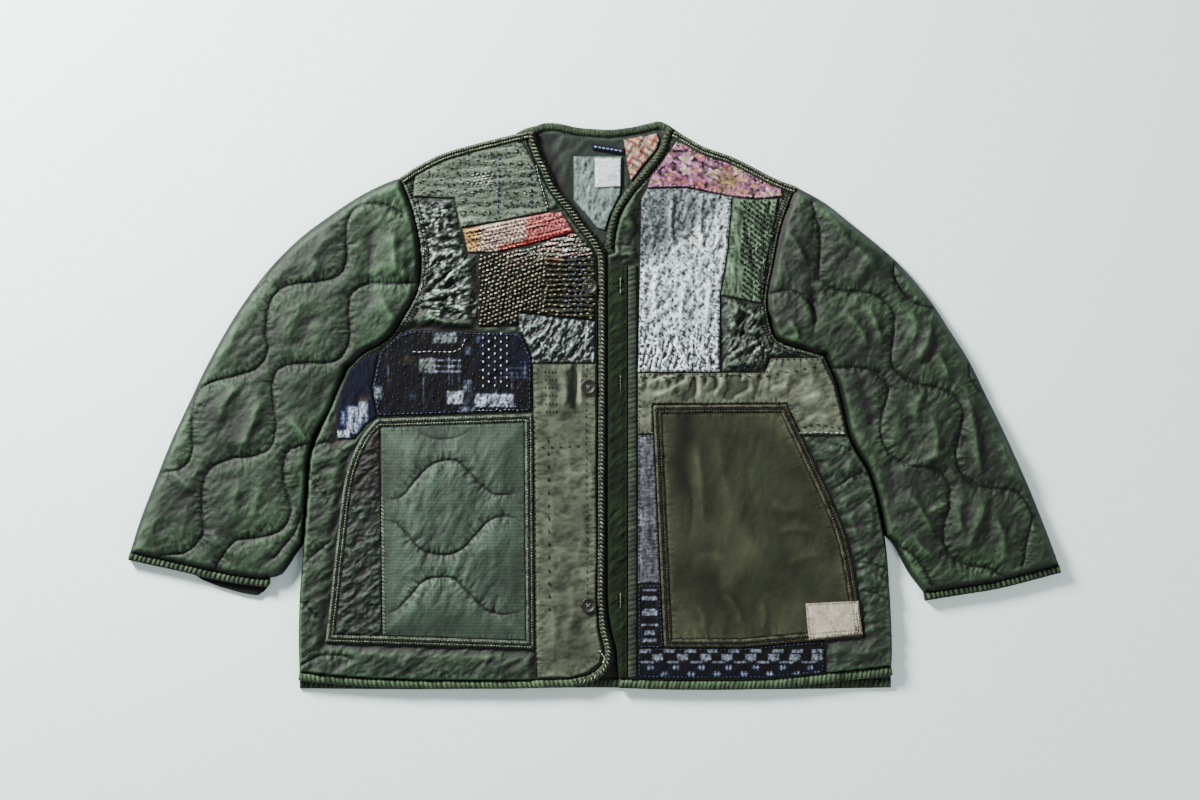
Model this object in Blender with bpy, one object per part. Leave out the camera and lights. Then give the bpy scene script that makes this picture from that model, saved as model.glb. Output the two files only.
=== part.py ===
"""Patched, quilted jacket laid flat, built from its cut-and-sewn pieces.

All plan sizes are in millimetres, taken from the laid-out garment: +X is the viewer's right, +Y runs
up the garment to the collar and +Z points up off the surface. Names with right or left mean the
wearer's side. Each piece of cloth has a flat underside at its own level and a shaped upper side.
"""

import math

import bmesh
import bpy
import numpy as np
from mathutils import Vector
from mathutils.geometry import delaunay_2d_cdt

MM = 0.001

# Spacing of the points along outlines and inside shaped cloth
STEP = 17.0
GAP = 0.4

# Levels of the layers above the surface
BACK_TOP = 5.0
FRONT_BASE = BACK_TOP + GAP
FRONT_TOP = 11.0
PATCH_BASE = FRONT_TOP + GAP
PATCH_THICK = 1.3
PATCH_TOP = PATCH_BASE + PATCH_THICK
POCKET_TOP = 13.4
TAPE_TOP = 13.8
LABEL_BASE = TAPE_TOP + GAP
SLEEVE_TOP = 11.5
SLEEVE_SLOT = (5.4, 6.4)
SLEEVE_WALL = 10.0

# Sizes of the trim
BINDING_WIDE = 9.4
HEM_BINDING_WIDE = 10.5
BINDING_TOP = 13.0
TAPE_WIDE = 9.2
CUFF_WIDE = 10.0
CUFF_TOP = 12.5
BUTTON_RADIUS = 9.0
BUTTON_THICK = 3.2
BUTTON_SIDES = 18
BUTTON_HOLE_RADIUS = 1.1
BUTTON_HOLE_SPREAD = 2.3
BUTTON_HOLE_SIDES = 6
BUTTON_HOLES = 4
BUTTON_PROFILE = ((0.6, 0.62), (0.76, 1.0), (1.0, 0.7), (0.9, 0.0))
BUTTONS = ((-5.5, 137.8), (-7.1, 19.5), (-7.1, -237.8))

# Sections of bindings and tapes: share of the width and of the height
ROUNDED = ((0, 0), (0, 0.62), (0.27, 1), (0.73, 1), (1, 0.62), (1, 0))
SQUARE = ((0, 0), (0, 1), (1, 1), (1, 0))

# Cuff bindings: fall to their edges and how far in it starts, the ripple of their gathers, and the lower layer
CUFF_FALL = 2.2
CUFF_ROUND = 3.5
CUFF_SLOPE = 0.6
CUFF_RIPPLE = 0.8
CUFF_RIPPLE_PITCH = 11.0
CUFF_LOWER_TOP = 4.6

# Rise of a sleeve laid flat and how far in it grows, and of the padding
SLEEVE_DOME = 4.0
SLEEVE_DOME_REACH = 28.0
SLEEVE_PUFF = 5.0
FRONT_PUFF = 3.4
POCKET_PUFF = 3.6

# Ends of bindings and tapes that lie lower than the rest
NECK_BINDING_BACK_TOP = 8.0
RIB_TOP = PATCH_TOP + 1.2
NECK_PATCH_THICK = 1.2
LABEL_THICK = 1.0
LOOP_THICK = 2.0
SHOULDER_TAPE = (1.2, 8.2)
TAPE_COVER = (1.0, 8.4)
PATCH_FROM_SHOULDER = 9.0
BAND_FROM_EDGE = 0.8
BAND_CORNERS = ((38.8, -322), (38.8, 163))
RIB_ENDS = ((39.4, 163), (39.4, -322))

# Wearer's right half, on the viewer's left
NECK_RIGHT = ((-79, 321), (-79, 310), (-71, 289), (-62, 270), (-53, 251), (-36, 230), (-19, 207), (-5, 189),
              (3, 174))
EDGE_RIGHT = ((3, 174), (4, 146), (4, 4), (3, -185), (3, -232), (6, -267), (12, -291), (9, -307),
              (-5, -319), (-29, -325))
HEM_RIGHT = ((-29, -325), (-111, -327), (-229, -326), (-300, -322), (-348, -317))
SHOULDER_RIGHT = ((-79, 321), (-109, 314), (-145, 305), (-181, 294), (-212, 278), (-230, 266))
ARMHOLE_RIGHT = ((-230, 266), (-217, 234), (-208, 199), (-205, 167), (-207, 140), (-215, 120),
                 (-225, 103), (-239, 82), (-255, 69), (-273, 60), (-291, 42))
SIDE_RIGHT_UPPER = ((-291, 42), (-303, 14), (-313, -10), (-325, -34), (-335, -63), (-339, -114),
                    (-343, -165))
SIDE_RIGHT_LOWER = ((-343, -165), (-345, -190), (-348, -232), (-349, -279), (-348, -317))
SLEEVE_RIGHT = ((-230, 266), (-247, 260), (-277, 245), (-312, 222), (-348, 195), (-383, 160),
                (-412, 122), (-436, 84), (-460, 40), (-477, 4), (-499, -43), (-519, -93), (-536, -137),
                (-548, -175))
CUFF_RIGHT = ((-548, -175), (-497, -186), (-434, -200), (-391, -206), (-383, -206))
INNER_RIGHT = ((-343, -165), (-351, -176), (-368, -201), (-383, -206))
CUFF_UNDER_RIGHT = ((-383, -213), (-390, -222), (-398, -227), (-416, -224), (-441, -217), (-463, -208.5))

# Wearer's left half, on the viewer's right
NECK_LEFT = ((95, 322), (89, 310), (86, 299), (75, 283), (60, 264), (44, 245), (32, 226), (26, 207),
             (23, 190), (23, 178))
NECK_LEFT_CORNER = ((15, 176), (23, 178))
SHOULDER_LEFT = ((95, 322), (101, 319), (129, 303), (160, 292), (187, 279), (214, 265), (238, 256))
ARMHOLE_LEFT = ((238, 256), (226, 226), (218, 199), (211, 163), (205, 134), (204, 115), (207, 95),
                (214, 77), (231, 68), (250, 63), (271, 56))
SIDE_LEFT_UPPER = ((271, 56), (285, 24), (293, -8), (299, -35), (309, -57), (322, -78), (332, -108),
                   (342, -156))
SIDE_LEFT_LOWER = ((342, -156), (345, -178), (348, -220), (350, -255), (351, -291), (350, -310))
EDGE_LEFT = ((15, 163), (15, 4), (15, -185), (16, -240), (20, -267), (26, -291), (27, -309), (29, -325))
HEM_LEFT = ((29, -325), (100, -327), (200, -326), (278, -318), (350, -310))
SLEEVE_LEFT = ((238, 256), (272, 237), (301, 214), (337, 185), (366, 158), (396, 122), (419, 87),
               (443, 49), (461, 12), (478, -22), (496, -61), (514, -102), (532, -147), (548, -190))
CUFF_LEFT = ((548, -190), (478, -208), (431, -216), (388, -223))
INNER_LEFT = ((342, -156), (353, -167), (370, -199), (388, -223))

# Lines round a sleeve, in order
SLEEVE_PARTS = ("outer", "cuff", "inner", "side", "armhole")

# The back's own edges
BACK_NECK = ((-66, 319), (-57, 322), (-41, 321), (-24, 317), (-4, 315), (19, 314), (38, 316), (51, 318),
             (63, 321), (76, 324))
BACK_HEM = ((-348, -326), (-200, -327), (0, -325), (200, -327), (350, -325))
BACK_SIDE_RIGHT = ((-348, -317), (-348, -326))
BACK_SIDE_LEFT = ((350, -325), (350, -310))

# Pockets: the curved opening side apart from the straight ones
POCKET_RIGHT_OPENING = ((-317, -281), (-311, -230), (-305, -175), (-294, -90), (-277, -44), (-257, -18))
POCKET_RIGHT_STRAIGHT = ((-257, -18), (-73, -12), (-71, -289), (-317, -281))
POCKET_LEFT_OPENING = ((226, -1), (252, -56), (278, -112), (297, -162), (310, -232), (317, -274))
POCKET_LEFT_STRAIGHT = ((317, -274), (174, -287), (82, -287), (69, -2), (226, -1))
POCKET_RIGHT_SEAM = ((-253, 0), (-250, -300))

# Patches on the wearer's right front
SAGE = ((-214, 244), (-165, 242), (-158, 207), (-80, 221), (-54, 226), (-70, 281), (-84, 306))
MADDER = ((-156, 206), (-149, 178), (-112, 179), (-53, 194), (-24, 202), (-39, 226), (-54, 225), (-80, 220))
DARNED_RIGHT = ((-137, 177), (-137, 91), (-90, 93), (-90, 108), (1, 98), (1, 172), (-10, 191),
                (-24, 201), (-53, 193), (-112, 178))
CRINKLED = ((-90, 107), (-90, 84), (-86, 83), (-74, 54), (-74, 48), (1, 48), (1, 97))
INDIGO = ((-253, 62), (-237, 76), (-226, 83), (-211, 87), (-91, 83), (-86, 82), (-74, 53), (-74, -9),
          (-133, -10.5), (-181, -12.5), (-256, -15), (-262, 20))
INDIGO_TAIL = ((-254, 62), (-270, 55), (-288, 40), (-299, 14), (-305, -15), (-303, -41), (-283, -41),
               (-270, -24), (-257, -15), (-263, 20))
KHAKI_STRIP = ((-73, 47), (2, 47), (2.5, -185), (1.5, -232), (4, -267), (9.5, -291), (6, -305),
               (-7, -317), (-29, -323), (-67, -323.5), (-69.5, -290), (-72, -12))

# Patches on the wearer's left front
FLORAL_YOKE = ((96, 308), (88, 297), (77, 281), (65, 266), (62, 254), (108, 254.5), (162, 244),
               (190, 241), (222, 244))
SILVER = ((51, 37), (148, 37), (148, 128), (157, 180), (162, 243.5), (108, 254), (62, 253), (55, 240))
DARNED_LEFT = ((162.5, 243.5), (190, 240.5), (217, 242), (209, 200), (202, 165), (197, 134), (197, 118),
               (149, 128), (157.5, 180))
KHAKI_BAND = ((51, 36), (201, 36.5), (207, 54), (267, 54), (282, 24), (290.5, -8), (296.5, -37),
              (244, -37), (227, 0), (68.5, -1), (69.5, -36), (51, -36))
MAUVE_STRIP = ((51, -37), (70, -37), (78, -212), (51, -212))
KASURI_UPRIGHT = ((51, -213), (78, -213), (81.5, -288), (51, -288))
KASURI_BAND = ((51, -289), (82, -288), (174, -288), (271, -279), (271, -317), (200, -323.5),
               (100, -324), (51, -323))
POCKET_LABEL = ((248, -235), (311, -232), (316, -272), (252, -279))

# Pieces inside the back neck
DENIM = ((-25, 292), (33, 292), (31, 248), (19, 224), (12, 204), (3, 207), (-9, 222), (-25, 240))
NECK_LABEL = ((0, 254), (31, 256), (31.5, 290), (0, 290))
PETAL = ((34, 312), (52, 315), (74, 319), (77, 310), (72, 298), (57, 281), (43, 262), (38, 285))
LOOP = ((-3, 307), (35, 301), (35, 294), (-3, 300))

# Quilting: turn of the wavy lines, their spacing, swing and wave, and where one of them lies
QUILT_SLEEVE_RIGHT = (math.radians(-128.5), 67.3, 20.0, 144.0, -352.7, 63.5)
QUILT_SLEEVE_LEFT = (math.radians(-53.1), 66.1, 21.2, 139.2, 321.6, 116.2)
QUILT_POCKET = (0.0, 68.4, 21.8, 141.6, -87.9, -176.0)
QUILT_SIDE_RIGHT = (0.0, 71.0, 20.5, 142.0, -173.0, -288.5)
QUILT_SIDE_LEFT = (0.0, 69.5, 20.5, 142.0, -102.5, 320.0)
ROWS_IN_PUFF = (0.0, 0.15, 0.38, 0.62, 0.85)

# Folds as ridges: start, end, height and half width; a negative height is a trough
FOLDS_SLEEVE_RIGHT = (
    ((-237, 205), (-234, 150), 5.0, 9), ((-252, 127), (-231, 92), 3.5, 8), ((-418, 24), (-444, -22), 3.0, 9),
    ((-388, 11), (-418, -59), 3.5, 9), ((-361, -16), (-332, -52), 3.0, 8), ((-322, 170), (-342, 143), 3.0, 8),
    ((-262, 175), (-268, 105), -3.5, 13), ((-300, 60), (-330, -20), -3.0, 14), ((-500, -70), (-470, -105), 2.5, 9),
    ((-452, -150), (-425, -178), 2.5, 8), ((-260, 240), (-300, 200), 2.5, 10),
)
FOLDS_SLEEVE_LEFT = (
    ((265, 238), (302, 180), 3.5, 9), ((396, 93), (379, 50), 4.5, 9), ((386, 15), (375, -21), 3.5, 8),
    ((435, 21), (454, -93), 4.0, 9), ((461, -106), (435, -176), 4.5, 9), ((351, -80), (418, -54), 3.5, 8),
    ((390, -128), (418, -115), 3.0, 8), ((238, 140), (260, 76), 3.5, 8), ((330, 178), (300, 140), 3.0, 9),
    ((345, -60), (352, -120), -3.0, 12), ((310, 40), (330, -40), -3.0, 12), ((500, -105), (520, -160), 3.0, 9),
)
FOLDS_FRONT_RIGHT = (
    ((-204, 122), (-146, 172), 5.0, 5), ((-206, 128), (-170, 168), 4.0, 4), ((-204, 134), (-186, 178), 3.5, 4),
    ((-202, 114), (-150, 108), 4.0, 5), ((-204, 236), (-166, 224), 3.0, 5), ((-200, 215), (-166, 206), 3.0, 5),
    ((-196, 196), (-162, 190), 3.0, 5), ((-185, 152), (-145, 140), -2.0, 6),
)
FOLDS_FRONT_LEFT = (
    ((200, 88), (156, 120), 3.5, 5), ((198, 80), (160, 68), 4.0, 5), ((200, 72), (180, 48), 3.5, 5),
    ((176, 112), (162, 92), 2.5, 5),
)
# Where the fronts show beside their patches, and their gathered ground near the armholes: opposite corners
BARE_RIGHT = (-20, ((-215, -20), (-140, 400)))
BARE_LEFT = (-40, ((145, -40), (400, 135)))
GATHERS_RIGHT = ((-215, 70), (-140, 245))
GATHERS_LEFT = ((145, 34), (214, 130))

FOLDS_POCKET_LEFT = (
    ((122, -60), (130, -165), 1.2, 12), ((160, -40), (200, -120), 0.9, 16), ((250, -150), (200, -200), 0.9, 14),
    ((110, -220), (150, -262), 0.9, 12),
)

# Edge lines and the spacing of their points
LINES = {
    "neck_right": (NECK_RIGHT, STEP), "edge_right": (EDGE_RIGHT, 12), "hem_right": (HEM_RIGHT, 15),
    "shoulder_right": (SHOULDER_RIGHT, STEP), "armhole_right": (ARMHOLE_RIGHT, 13),
    "side_right": (SIDE_RIGHT_UPPER, STEP), "hip_right": (SIDE_RIGHT_LOWER, STEP),
    "outer_right": (SLEEVE_RIGHT, STEP), "cuff_right": (CUFF_RIGHT, 8), "inner_right": (INNER_RIGHT, STEP),
    "neck_left": (NECK_LEFT, STEP), "edge_left": (EDGE_LEFT, 22), "hem_left": (HEM_LEFT, 26),
    "shoulder_left": (SHOULDER_LEFT, STEP), "armhole_left": (ARMHOLE_LEFT, 13),
    "side_left": (SIDE_LEFT_UPPER, STEP), "hip_left": (SIDE_LEFT_LOWER, STEP),
    "outer_left": (SLEEVE_LEFT, STEP), "cuff_left": (CUFF_LEFT, 8), "inner_left": (INNER_LEFT, STEP),
    "back_neck": (BACK_NECK, 12), "back_hem": (BACK_HEM, 30),
}

# Patches: corners, spacing of their edge points, cloth, and the rise, wave and turn of their puckers
PATCHES_RIGHT = {
    "patch_madder": (MADDER, STEP, "madder_cotton", 0.4, 18, 1.2),
    "patch_darned_right": (DARNED_RIGHT, STEP, "brown_cotton", 0.5, 26, 1.5),
    "patch_crinkled": (CRINKLED, 12, "blue_green_nylon", 0.6, 30, 0.5),
    "patch_indigo": (INDIGO, STEP, "indigo_cotton", 0.4, 34, 0.8),
    "patch_indigo_tail": (INDIGO_TAIL, STEP, "indigo_cotton", 0.3, 26, 0.3),
    "patch_khaki_strip": (KHAKI_STRIP, STEP, "khaki_cotton", 0.45, 44, 0.9),
}
PATCHES_LEFT = {
    "patch_silver": (SILVER, STEP, "silver_cloth", 0.45, 36, 0.7),
    "patch_darned_left": (DARNED_LEFT, STEP, "darned_green", 0.4, 20, 0.0),
    "patch_khaki_band": (KHAKI_BAND, STEP, "khaki_cotton", 0.5, 46, 0.3),
    "patch_mauve": (MAUVE_STRIP, STEP, "mauve_cotton", 0.3, 22, 0.6),
    "patch_kasuri_upright": (KASURI_UPRIGHT, STEP, "indigo_cotton", 0.3, 22, 0.2),
    "patch_kasuri_band": (KASURI_BAND, STEP, "indigo_cotton", 0.35, 30, 1.0),
}

# Patches whose upper edge follows a shoulder tape between two widths
SAGE_SPAN = (-216, -86)
SAGE_PUCKER = ("sage_cotton", 0.5, 34, 0.2)
YOKE_SPAN = (98, 222)
YOKE_PUCKER = ("floral_cotton", 0.4, 28, 0.4)

# Puckers of the pocket facing and the buttonhole band: rise, wave, turn and spacing of points
FACING_PUCKER = (0.8, 24, 0.7, 12)
BAND_PUCKER = (0.4, 30, 0.2, 14)

# Cloths: display colour and roughness
CLOTHS = {
    "nylon_green": ((85, 102, 78), 0.55), "nylon_dark": ((58, 70, 50), 0.5), "lining_green": ((74, 92, 70), 0.6),
    "binding_green": ((70, 84, 62), 0.8), "sage_cotton": ((118, 130, 108), 0.85),
    "madder_cotton": ((196, 112, 92), 0.85), "brown_cotton": ((84, 80, 64), 0.85),
    "blue_green_nylon": ((78, 98, 88), 0.5), "indigo_cotton": ((30, 36, 62), 0.9),
    "khaki_cotton": ((128, 128, 98), 0.9), "floral_cotton": ((182, 124, 142), 0.85),
    "silver_cloth": ((188, 193, 198), 0.6), "darned_green": ((86, 98, 82), 0.85),
    "olive_cotton": ((72, 74, 48), 0.85), "mauve_cotton": ((90, 85, 92), 0.9),
    "pocket_nylon": ((100, 122, 104), 0.6), "grey_denim": ((142, 146, 134), 0.9),
    "label_white": ((222, 220, 208), 0.8), "petal_print": ((204, 180, 164), 0.85),
    "loop_navy": ((34, 42, 84), 0.8), "button_brown": ((74, 74, 54), 0.4),
}


def curve(points, step=STEP):
    """Evenly spaced points on a smooth line through the given ones."""
    p = np.array(points, float)
    q = np.vstack([2 * p[0] - p[1], p, 2 * p[-1] - p[-2]])
    t = np.linspace(0, 1, 12, endpoint=False)[:, None]
    fine = []
    for a, b, c, d in zip(q[:-3], q[1:-2], q[2:-1], q[3:]):
        bend = (2 * a - 5 * b + 4 * c - d) * t**2 + (3 * b - a - 3 * c + d) * t**3
        fine.append(0.5 * (2 * b + (c - a) * t + bend))
    return spaced(np.vstack(fine + [p[-1:]]), step)


def spaced(points, step=STEP):
    """Evenly spaced points along a chain of straight pieces."""
    p = np.array(points, float)
    run = np.concatenate([[0], np.cumsum(np.hypot(*np.diff(p, axis=0).T))])
    at = np.linspace(0, run[-1], max(1, round(run[-1] / step)) + 1)
    return np.column_stack([np.interp(at, run, p[:, 0]), np.interp(at, run, p[:, 1])])


def straight(points, step=STEP):
    """Points along straight sides, keeping every corner."""
    sides = [spaced((a, b), step)[:-1] for a, b in zip(points[:-1], points[1:])]
    return np.vstack(sides + [np.array(points[-1:], float)])


def closed(*chains):
    """One anticlockwise outline from chains that meet end to end."""
    p = np.vstack(chains)
    keep = np.hypot(*(p - np.roll(p, 1, axis=0)).T) > 0.5
    p = p[keep]
    x, y = p.T
    turning = np.sum(x * np.roll(y, -1) - np.roll(x, -1) * y)
    return p if turning > 0 else p[::-1]


def polygon(points, step=STEP):
    """Outline of a patch from its corners."""
    return closed(straight(tuple(points) + (points[0],), step))


def inset(outline, distance):
    """The outline moved inwards, by one distance or by one for each of its edges."""
    p = np.array(outline)
    d = np.broadcast_to(np.array(distance, float), (len(p),))
    along = np.roll(p, -1, axis=0) - p
    along /= np.hypot(*along.T)[:, None]
    normal = np.column_stack([-along[:, 1], along[:, 0]])
    n0, d0 = np.roll(normal, 1, axis=0), np.roll(d, 1)
    cross = n0[:, 0] * normal[:, 1] - n0[:, 1] * normal[:, 0]
    sharp = np.abs(cross) > 0.3
    safe = np.where(sharp, cross, 1.0)
    corner = np.column_stack([
        (d0 * normal[:, 1] - d * n0[:, 1]) / safe,
        (n0[:, 0] * d - normal[:, 0] * d0) / safe,
    ])
    middle = n0 + normal
    middle *= (0.5 * (d0 + d) * 2 / np.sum(middle**2, axis=1))[:, None]
    return p + np.where(sharp[:, None], corner, middle)


def beside(line, distance):
    """A line moved to the left of its own direction."""
    p = np.array(line)
    along = np.diff(p, axis=0)
    along /= np.hypot(*along.T)[:, None]
    normal = np.column_stack([-along[:, 1], along[:, 0]])
    first, last = normal[:1], normal[-1:]
    n = np.vstack([first, normal]) + np.vstack([normal, last])
    n /= (np.sum(n**2, axis=1) / 2)[:, None]
    return p + n * distance


def inside(points, outline):
    """Which points lie within an outline."""
    x, y = points[:, :1], points[:, 1:]
    x0, y0 = outline.T
    x1, y1 = np.roll(x0, -1), np.roll(y0, -1)
    spans = (y0 > y) != (y1 > y)
    rise = np.where(y1 == y0, 1.0, y1 - y0)
    crosses = x < x0 + (y - y0) * (x1 - x0) / rise
    return np.sum(spans & crosses, axis=1) % 2 == 1


def distance_to(points, outline):
    """Distance of each point from an outline's edge."""
    a = outline[None, :, :]
    b = np.roll(outline, -1, axis=0)[None, :, :]
    p = points[:, None, :]
    along = b - a
    t = np.clip(np.sum((p - a) * along, axis=2) / np.sum(along**2, axis=2), 0, 1)
    return np.min(np.hypot(*np.moveaxis(p - a - t[..., None] * along, 2, 0)), axis=1)


def clear_of(points, outlines):
    """Distance of each point from the nearest of several pieces; zero within one."""
    far = np.full(len(points), 1e6)
    for outline in outlines:
        far = np.minimum(far, np.where(inside(points, outline), 0.0, distance_to(points, outline)))
    return far


def half_of(outline, seam, side):
    """The part of an outline on one side of a straight seam."""
    a, b = (np.array(p, float) for p in seam)
    normal = side * np.array([-(b - a)[1], (b - a)[0]])
    level = (outline - a) @ normal
    kept = []
    for i, point in enumerate(outline):
        j = (i + 1) % len(outline)
        if level[i] >= 0:
            kept.append(point)
        if level[i] * level[j] < 0:
            kept.append(point + (outline[j] - point) * level[i] / (level[i] - level[j]))
    corners = np.array(kept)
    return closed(straight(np.vstack([corners, corners[:1]])))


def lattice(outline, step=STEP):
    """Staggered points across an outline's extent."""
    low, high = outline.min(axis=0), outline.max(axis=0)
    rows = []
    for i, y in enumerate(np.arange(low[1], high[1], step * 0.87)):
        x = np.arange(low[0] + (i % 2) * step / 2, high[0], step)
        rows.append(np.column_stack([x, np.full(len(x), y)]))
    return np.vstack(rows)


def quilt_frame(points, quilt):
    """Place of points along and across a quilting's wavy lines."""
    turn = quilt[0]
    x, y = points[:, 0], points[:, 1]
    return x * math.cos(turn) + y * math.sin(turn), -x * math.sin(turn) + y * math.cos(turn)


def quilt_line(quilt, number, along):
    """Place across the quilting of one of its lines; neighbours swing opposite ways."""
    _, pitch, swing, period, first, crest = quilt
    sign = 1 - 2 * (np.asarray(number) % 2)
    return first + pitch * number + swing * sign * np.cos(2 * math.pi * (along - crest) / period)


def quilt_points(quilt, outline):
    """Points on the stitched lines and on the padding between them."""
    turn, pitch, _, _, first, _ = quilt
    s, t = quilt_frame(outline, quilt)
    along = np.arange(s.min(), s.max(), STEP + 2.0)
    rows = []
    for number in range(math.floor((t.min() - first) / pitch) - 1, math.ceil((t.max() - first) / pitch) + 2):
        low, high = quilt_line(quilt, number, along), quilt_line(quilt, number + 1, along)
        for share in ROWS_IN_PUFF:
            rows.append(np.column_stack([along, low + (high - low) * share]))
    s, t = np.vstack(rows).T
    return np.column_stack([s * math.cos(turn) - t * math.sin(turn), s * math.sin(turn) + t * math.cos(turn)])


def puff(points, quilt, height):
    """Rise of the padding between the stitched lines, fuller where they are further apart."""
    _, pitch, _, _, first, _ = quilt
    s, t = quilt_frame(points, quilt)
    guess = np.floor((t - first) / pitch).astype(int)
    rise = np.zeros(len(points))
    for step in (-1, 0, 1):
        low, high = quilt_line(quilt, guess + step, s), quilt_line(quilt, guess + step + 1, s)
        share = (t - low) / (high - low)
        here = (share >= 0) & (share < 1)
        full = height * np.sqrt((high - low) / pitch) * np.sin(math.pi * np.clip(share, 0, 1)) ** 0.7
        rise = np.where(here, full, rise)
    return rise


def ridges(points, folds):
    """Rise of laid folds: each a soft ridge that fades at its ends."""
    rise = np.zeros(len(points))
    for start, end, height, half in folds:
        a, b = np.array(start, float), np.array(end, float)
        along = b - a
        t = (points - a) @ along / (along @ along)
        near = np.hypot(*(points - a - np.clip(t, 0, 1)[:, None] * along).T)
        fade = np.clip(1.15 - np.abs(2 * np.clip(t, 0, 1) - 1) ** 2, 0, 1)
        rise += height * fade * np.exp(-((near / half) ** 2))
    return rise


def pucker(points, wave, turn):
    """Uneven puckers of drawn-up stitches, between about -1 and 1."""
    x, y = points[:, 0], points[:, 1]
    a = 2 * math.pi * (x * math.cos(turn) + y * math.sin(turn)) / wave
    b = 2 * math.pi * (-x * math.sin(turn) + y * math.cos(turn)) / wave
    return 0.6 * np.sin(a + 1.3 * np.sin(0.6 * b)) + 0.4 * np.sin(0.8 * b + 0.9 * np.sin(0.45 * a))


def linear(value):
    """Linear light of a display colour value from 0 to 255."""
    c = value / 255
    return c / 12.92 if c <= 0.04045 else ((c + 0.055) / 1.055) ** 2.4


def material(name, colour, roughness):
    """Plain Principled material, its colour given in display values."""
    made = bpy.data.materials.new(name)
    made.use_nodes = True
    shader = made.node_tree.nodes["Principled BSDF"]
    rgba = (linear(colour[0]), linear(colour[1]), linear(colour[2]), 1.0)
    shader.inputs["Base Color"].default_value = rgba
    shader.inputs["Roughness"].default_value = roughness
    made.diffuse_color = rgba
    return made


def add_object(name, verts, faces, paint):
    """Object from millimetre points, with its faces turned outwards."""
    mesh = bpy.data.meshes.new(name)
    mesh.from_pydata([tuple(v) for v in np.array(verts) * MM], [], faces)
    shape = bmesh.new()
    shape.from_mesh(mesh)
    bmesh.ops.recalc_face_normals(shape, faces=shape.faces)
    shape.to_mesh(mesh)
    shape.free()
    made = bpy.data.objects.new(name, mesh)
    bpy.context.scene.collection.objects.link(made)
    if paint:
        mesh.materials.append(paint)
    return made


def triangles_of(outline, points):
    """Triangles that fill an outline through the given inner points."""
    everything = [Vector(p) for p in np.vstack([outline, points])] if len(points) else [Vector(p) for p in outline]
    count = len(outline)
    edges = [(i, (i + 1) % count) for i in range(count)]
    verts, _, faces, *_ = delaunay_2d_cdt(everything, edges, [], 1, 1e-5)
    if len(verts) != len(everything):
        raise ValueError("an outline crosses itself or holds a double point")
    turned = []
    for a, b, c in faces:
        area = (verts[b] - verts[a]).cross(verts[c] - verts[a])
        turned.append((a, b, c) if area > 0 else (a, c, b))
    return turned


def slab(name, outline, base, top, paint, points=(), rim=4.0, drop=0.8, shrink=GAP / 2):
    """Cloth with a flat underside at base; top gives its upper side, rolled down by drop at the rim."""
    edge = inset(outline, shrink)
    inner = np.zeros((0, 2))
    if rim > 0:
        ring = inset(edge, rim)
        inner = ring[inside(ring, edge)]
        inner = inner[distance_to(inner, edge) > 0.9 * rim]
    if len(points):
        cloud = np.array(points)[inside(np.array(points), edge)]
        inner = np.vstack([inner, cloud[distance_to(cloud, edge) > rim + 1.0]])
    count = len(edge)
    plan = np.vstack([edge, inner])
    height = top(plan)
    height[:count] -= drop
    upper = np.column_stack([plan, height])
    lower = np.column_stack([edge, np.full(count, base)])
    total = len(plan)
    faces = triangles_of(edge, inner)
    faces += [(total + a, total + c, total + b) for a, b, c in triangles_of(edge, ())]
    faces += [(i, total + i, total + (i + 1) % count, (i + 1) % count) for i in range(count)]
    return add_object(name, np.vstack([upper, lower]), faces, paint)


def level(height):
    """Upper side at one height."""
    return lambda points: np.full(len(points), float(height))


def puckered(height, rise, wave, turn):
    """Upper side of a stitched patch."""
    return lambda points: height + rise * (pucker(points, wave, turn) - 1.0)


def strip(name, line, near, far, base, top, paint, ring=False, section=ROUNDED):
    """Binding or tape beside a line, from near to far left of it, with the given section."""
    rails = []
    for share, rise in section:
        away = near + (far - near) * share
        path = inset(line, away) if ring else beside(line, away)
        rails.append(np.column_stack([path, np.full(len(path), base + (top - base) * rise)]))
    rows, wide = len(line), len(section)
    verts = np.stack(rails, axis=1).reshape(-1, 3)
    faces = []
    for i in range(rows if ring else rows - 1):
        j = (i + 1) % rows
        for k in range(wide):
            m = (k + 1) % wide
            faces.append((i * wide + k, j * wide + k, j * wide + m, i * wide + m))
    if not ring:
        faces += [tuple(range(wide)), tuple((rows - 1) * wide + k for k in reversed(range(wide)))]
    return add_object(name, verts, faces, paint)


def prism(name, outline, base, top):
    """Cutter between two levels."""
    made = slab(name, outline, base, level(top), None, rim=0, drop=0, shrink=0)
    made.hide_render = True
    made.display_type = "WIRE"
    return made


def cut(target, cutter):
    """Take a cutter's shape out of a solid."""
    taken = target.modifiers.new("cut", "BOOLEAN")
    taken.operation = "DIFFERENCE"
    taken.solver = "EXACT"
    taken.object = cutter


def sleeve_form(outline, quilt, folds):
    """Upper side of a sleeve laid flat: a low dome with quilting and folds."""

    def top(points):
        dome = SLEEVE_DOME * (1 - np.exp(-distance_to(points, outline) / SLEEVE_DOME_REACH))
        return SLEEVE_TOP + dome + puff(points, quilt, SLEEVE_PUFF) + ridges(points, folds)

    return top


def front_points(outline, covers, quilt, gathers, bare):
    """Inner points of a front: close round whatever covers it, and through what shows."""
    below, ((x0, y0), (x1, y1)) = bare
    spread = np.vstack([quilt_points(quilt, outline), lattice(np.array(gathers, float), STEP / 2)])
    x, y = spread.T
    shows = (y < below) | ((x > x0) & (x < x1) & (y > y0) & (y < y1))
    spread = spread[shows & (clear_of(spread, covers) > 5)]
    rims = np.vstack([inset(cover, -2.0) for cover in covers])
    under = np.vstack([inset(cover, 1.0) for cover in covers])
    return np.vstack([spread, rims[clear_of(rims, covers) > 1.5], under])


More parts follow.
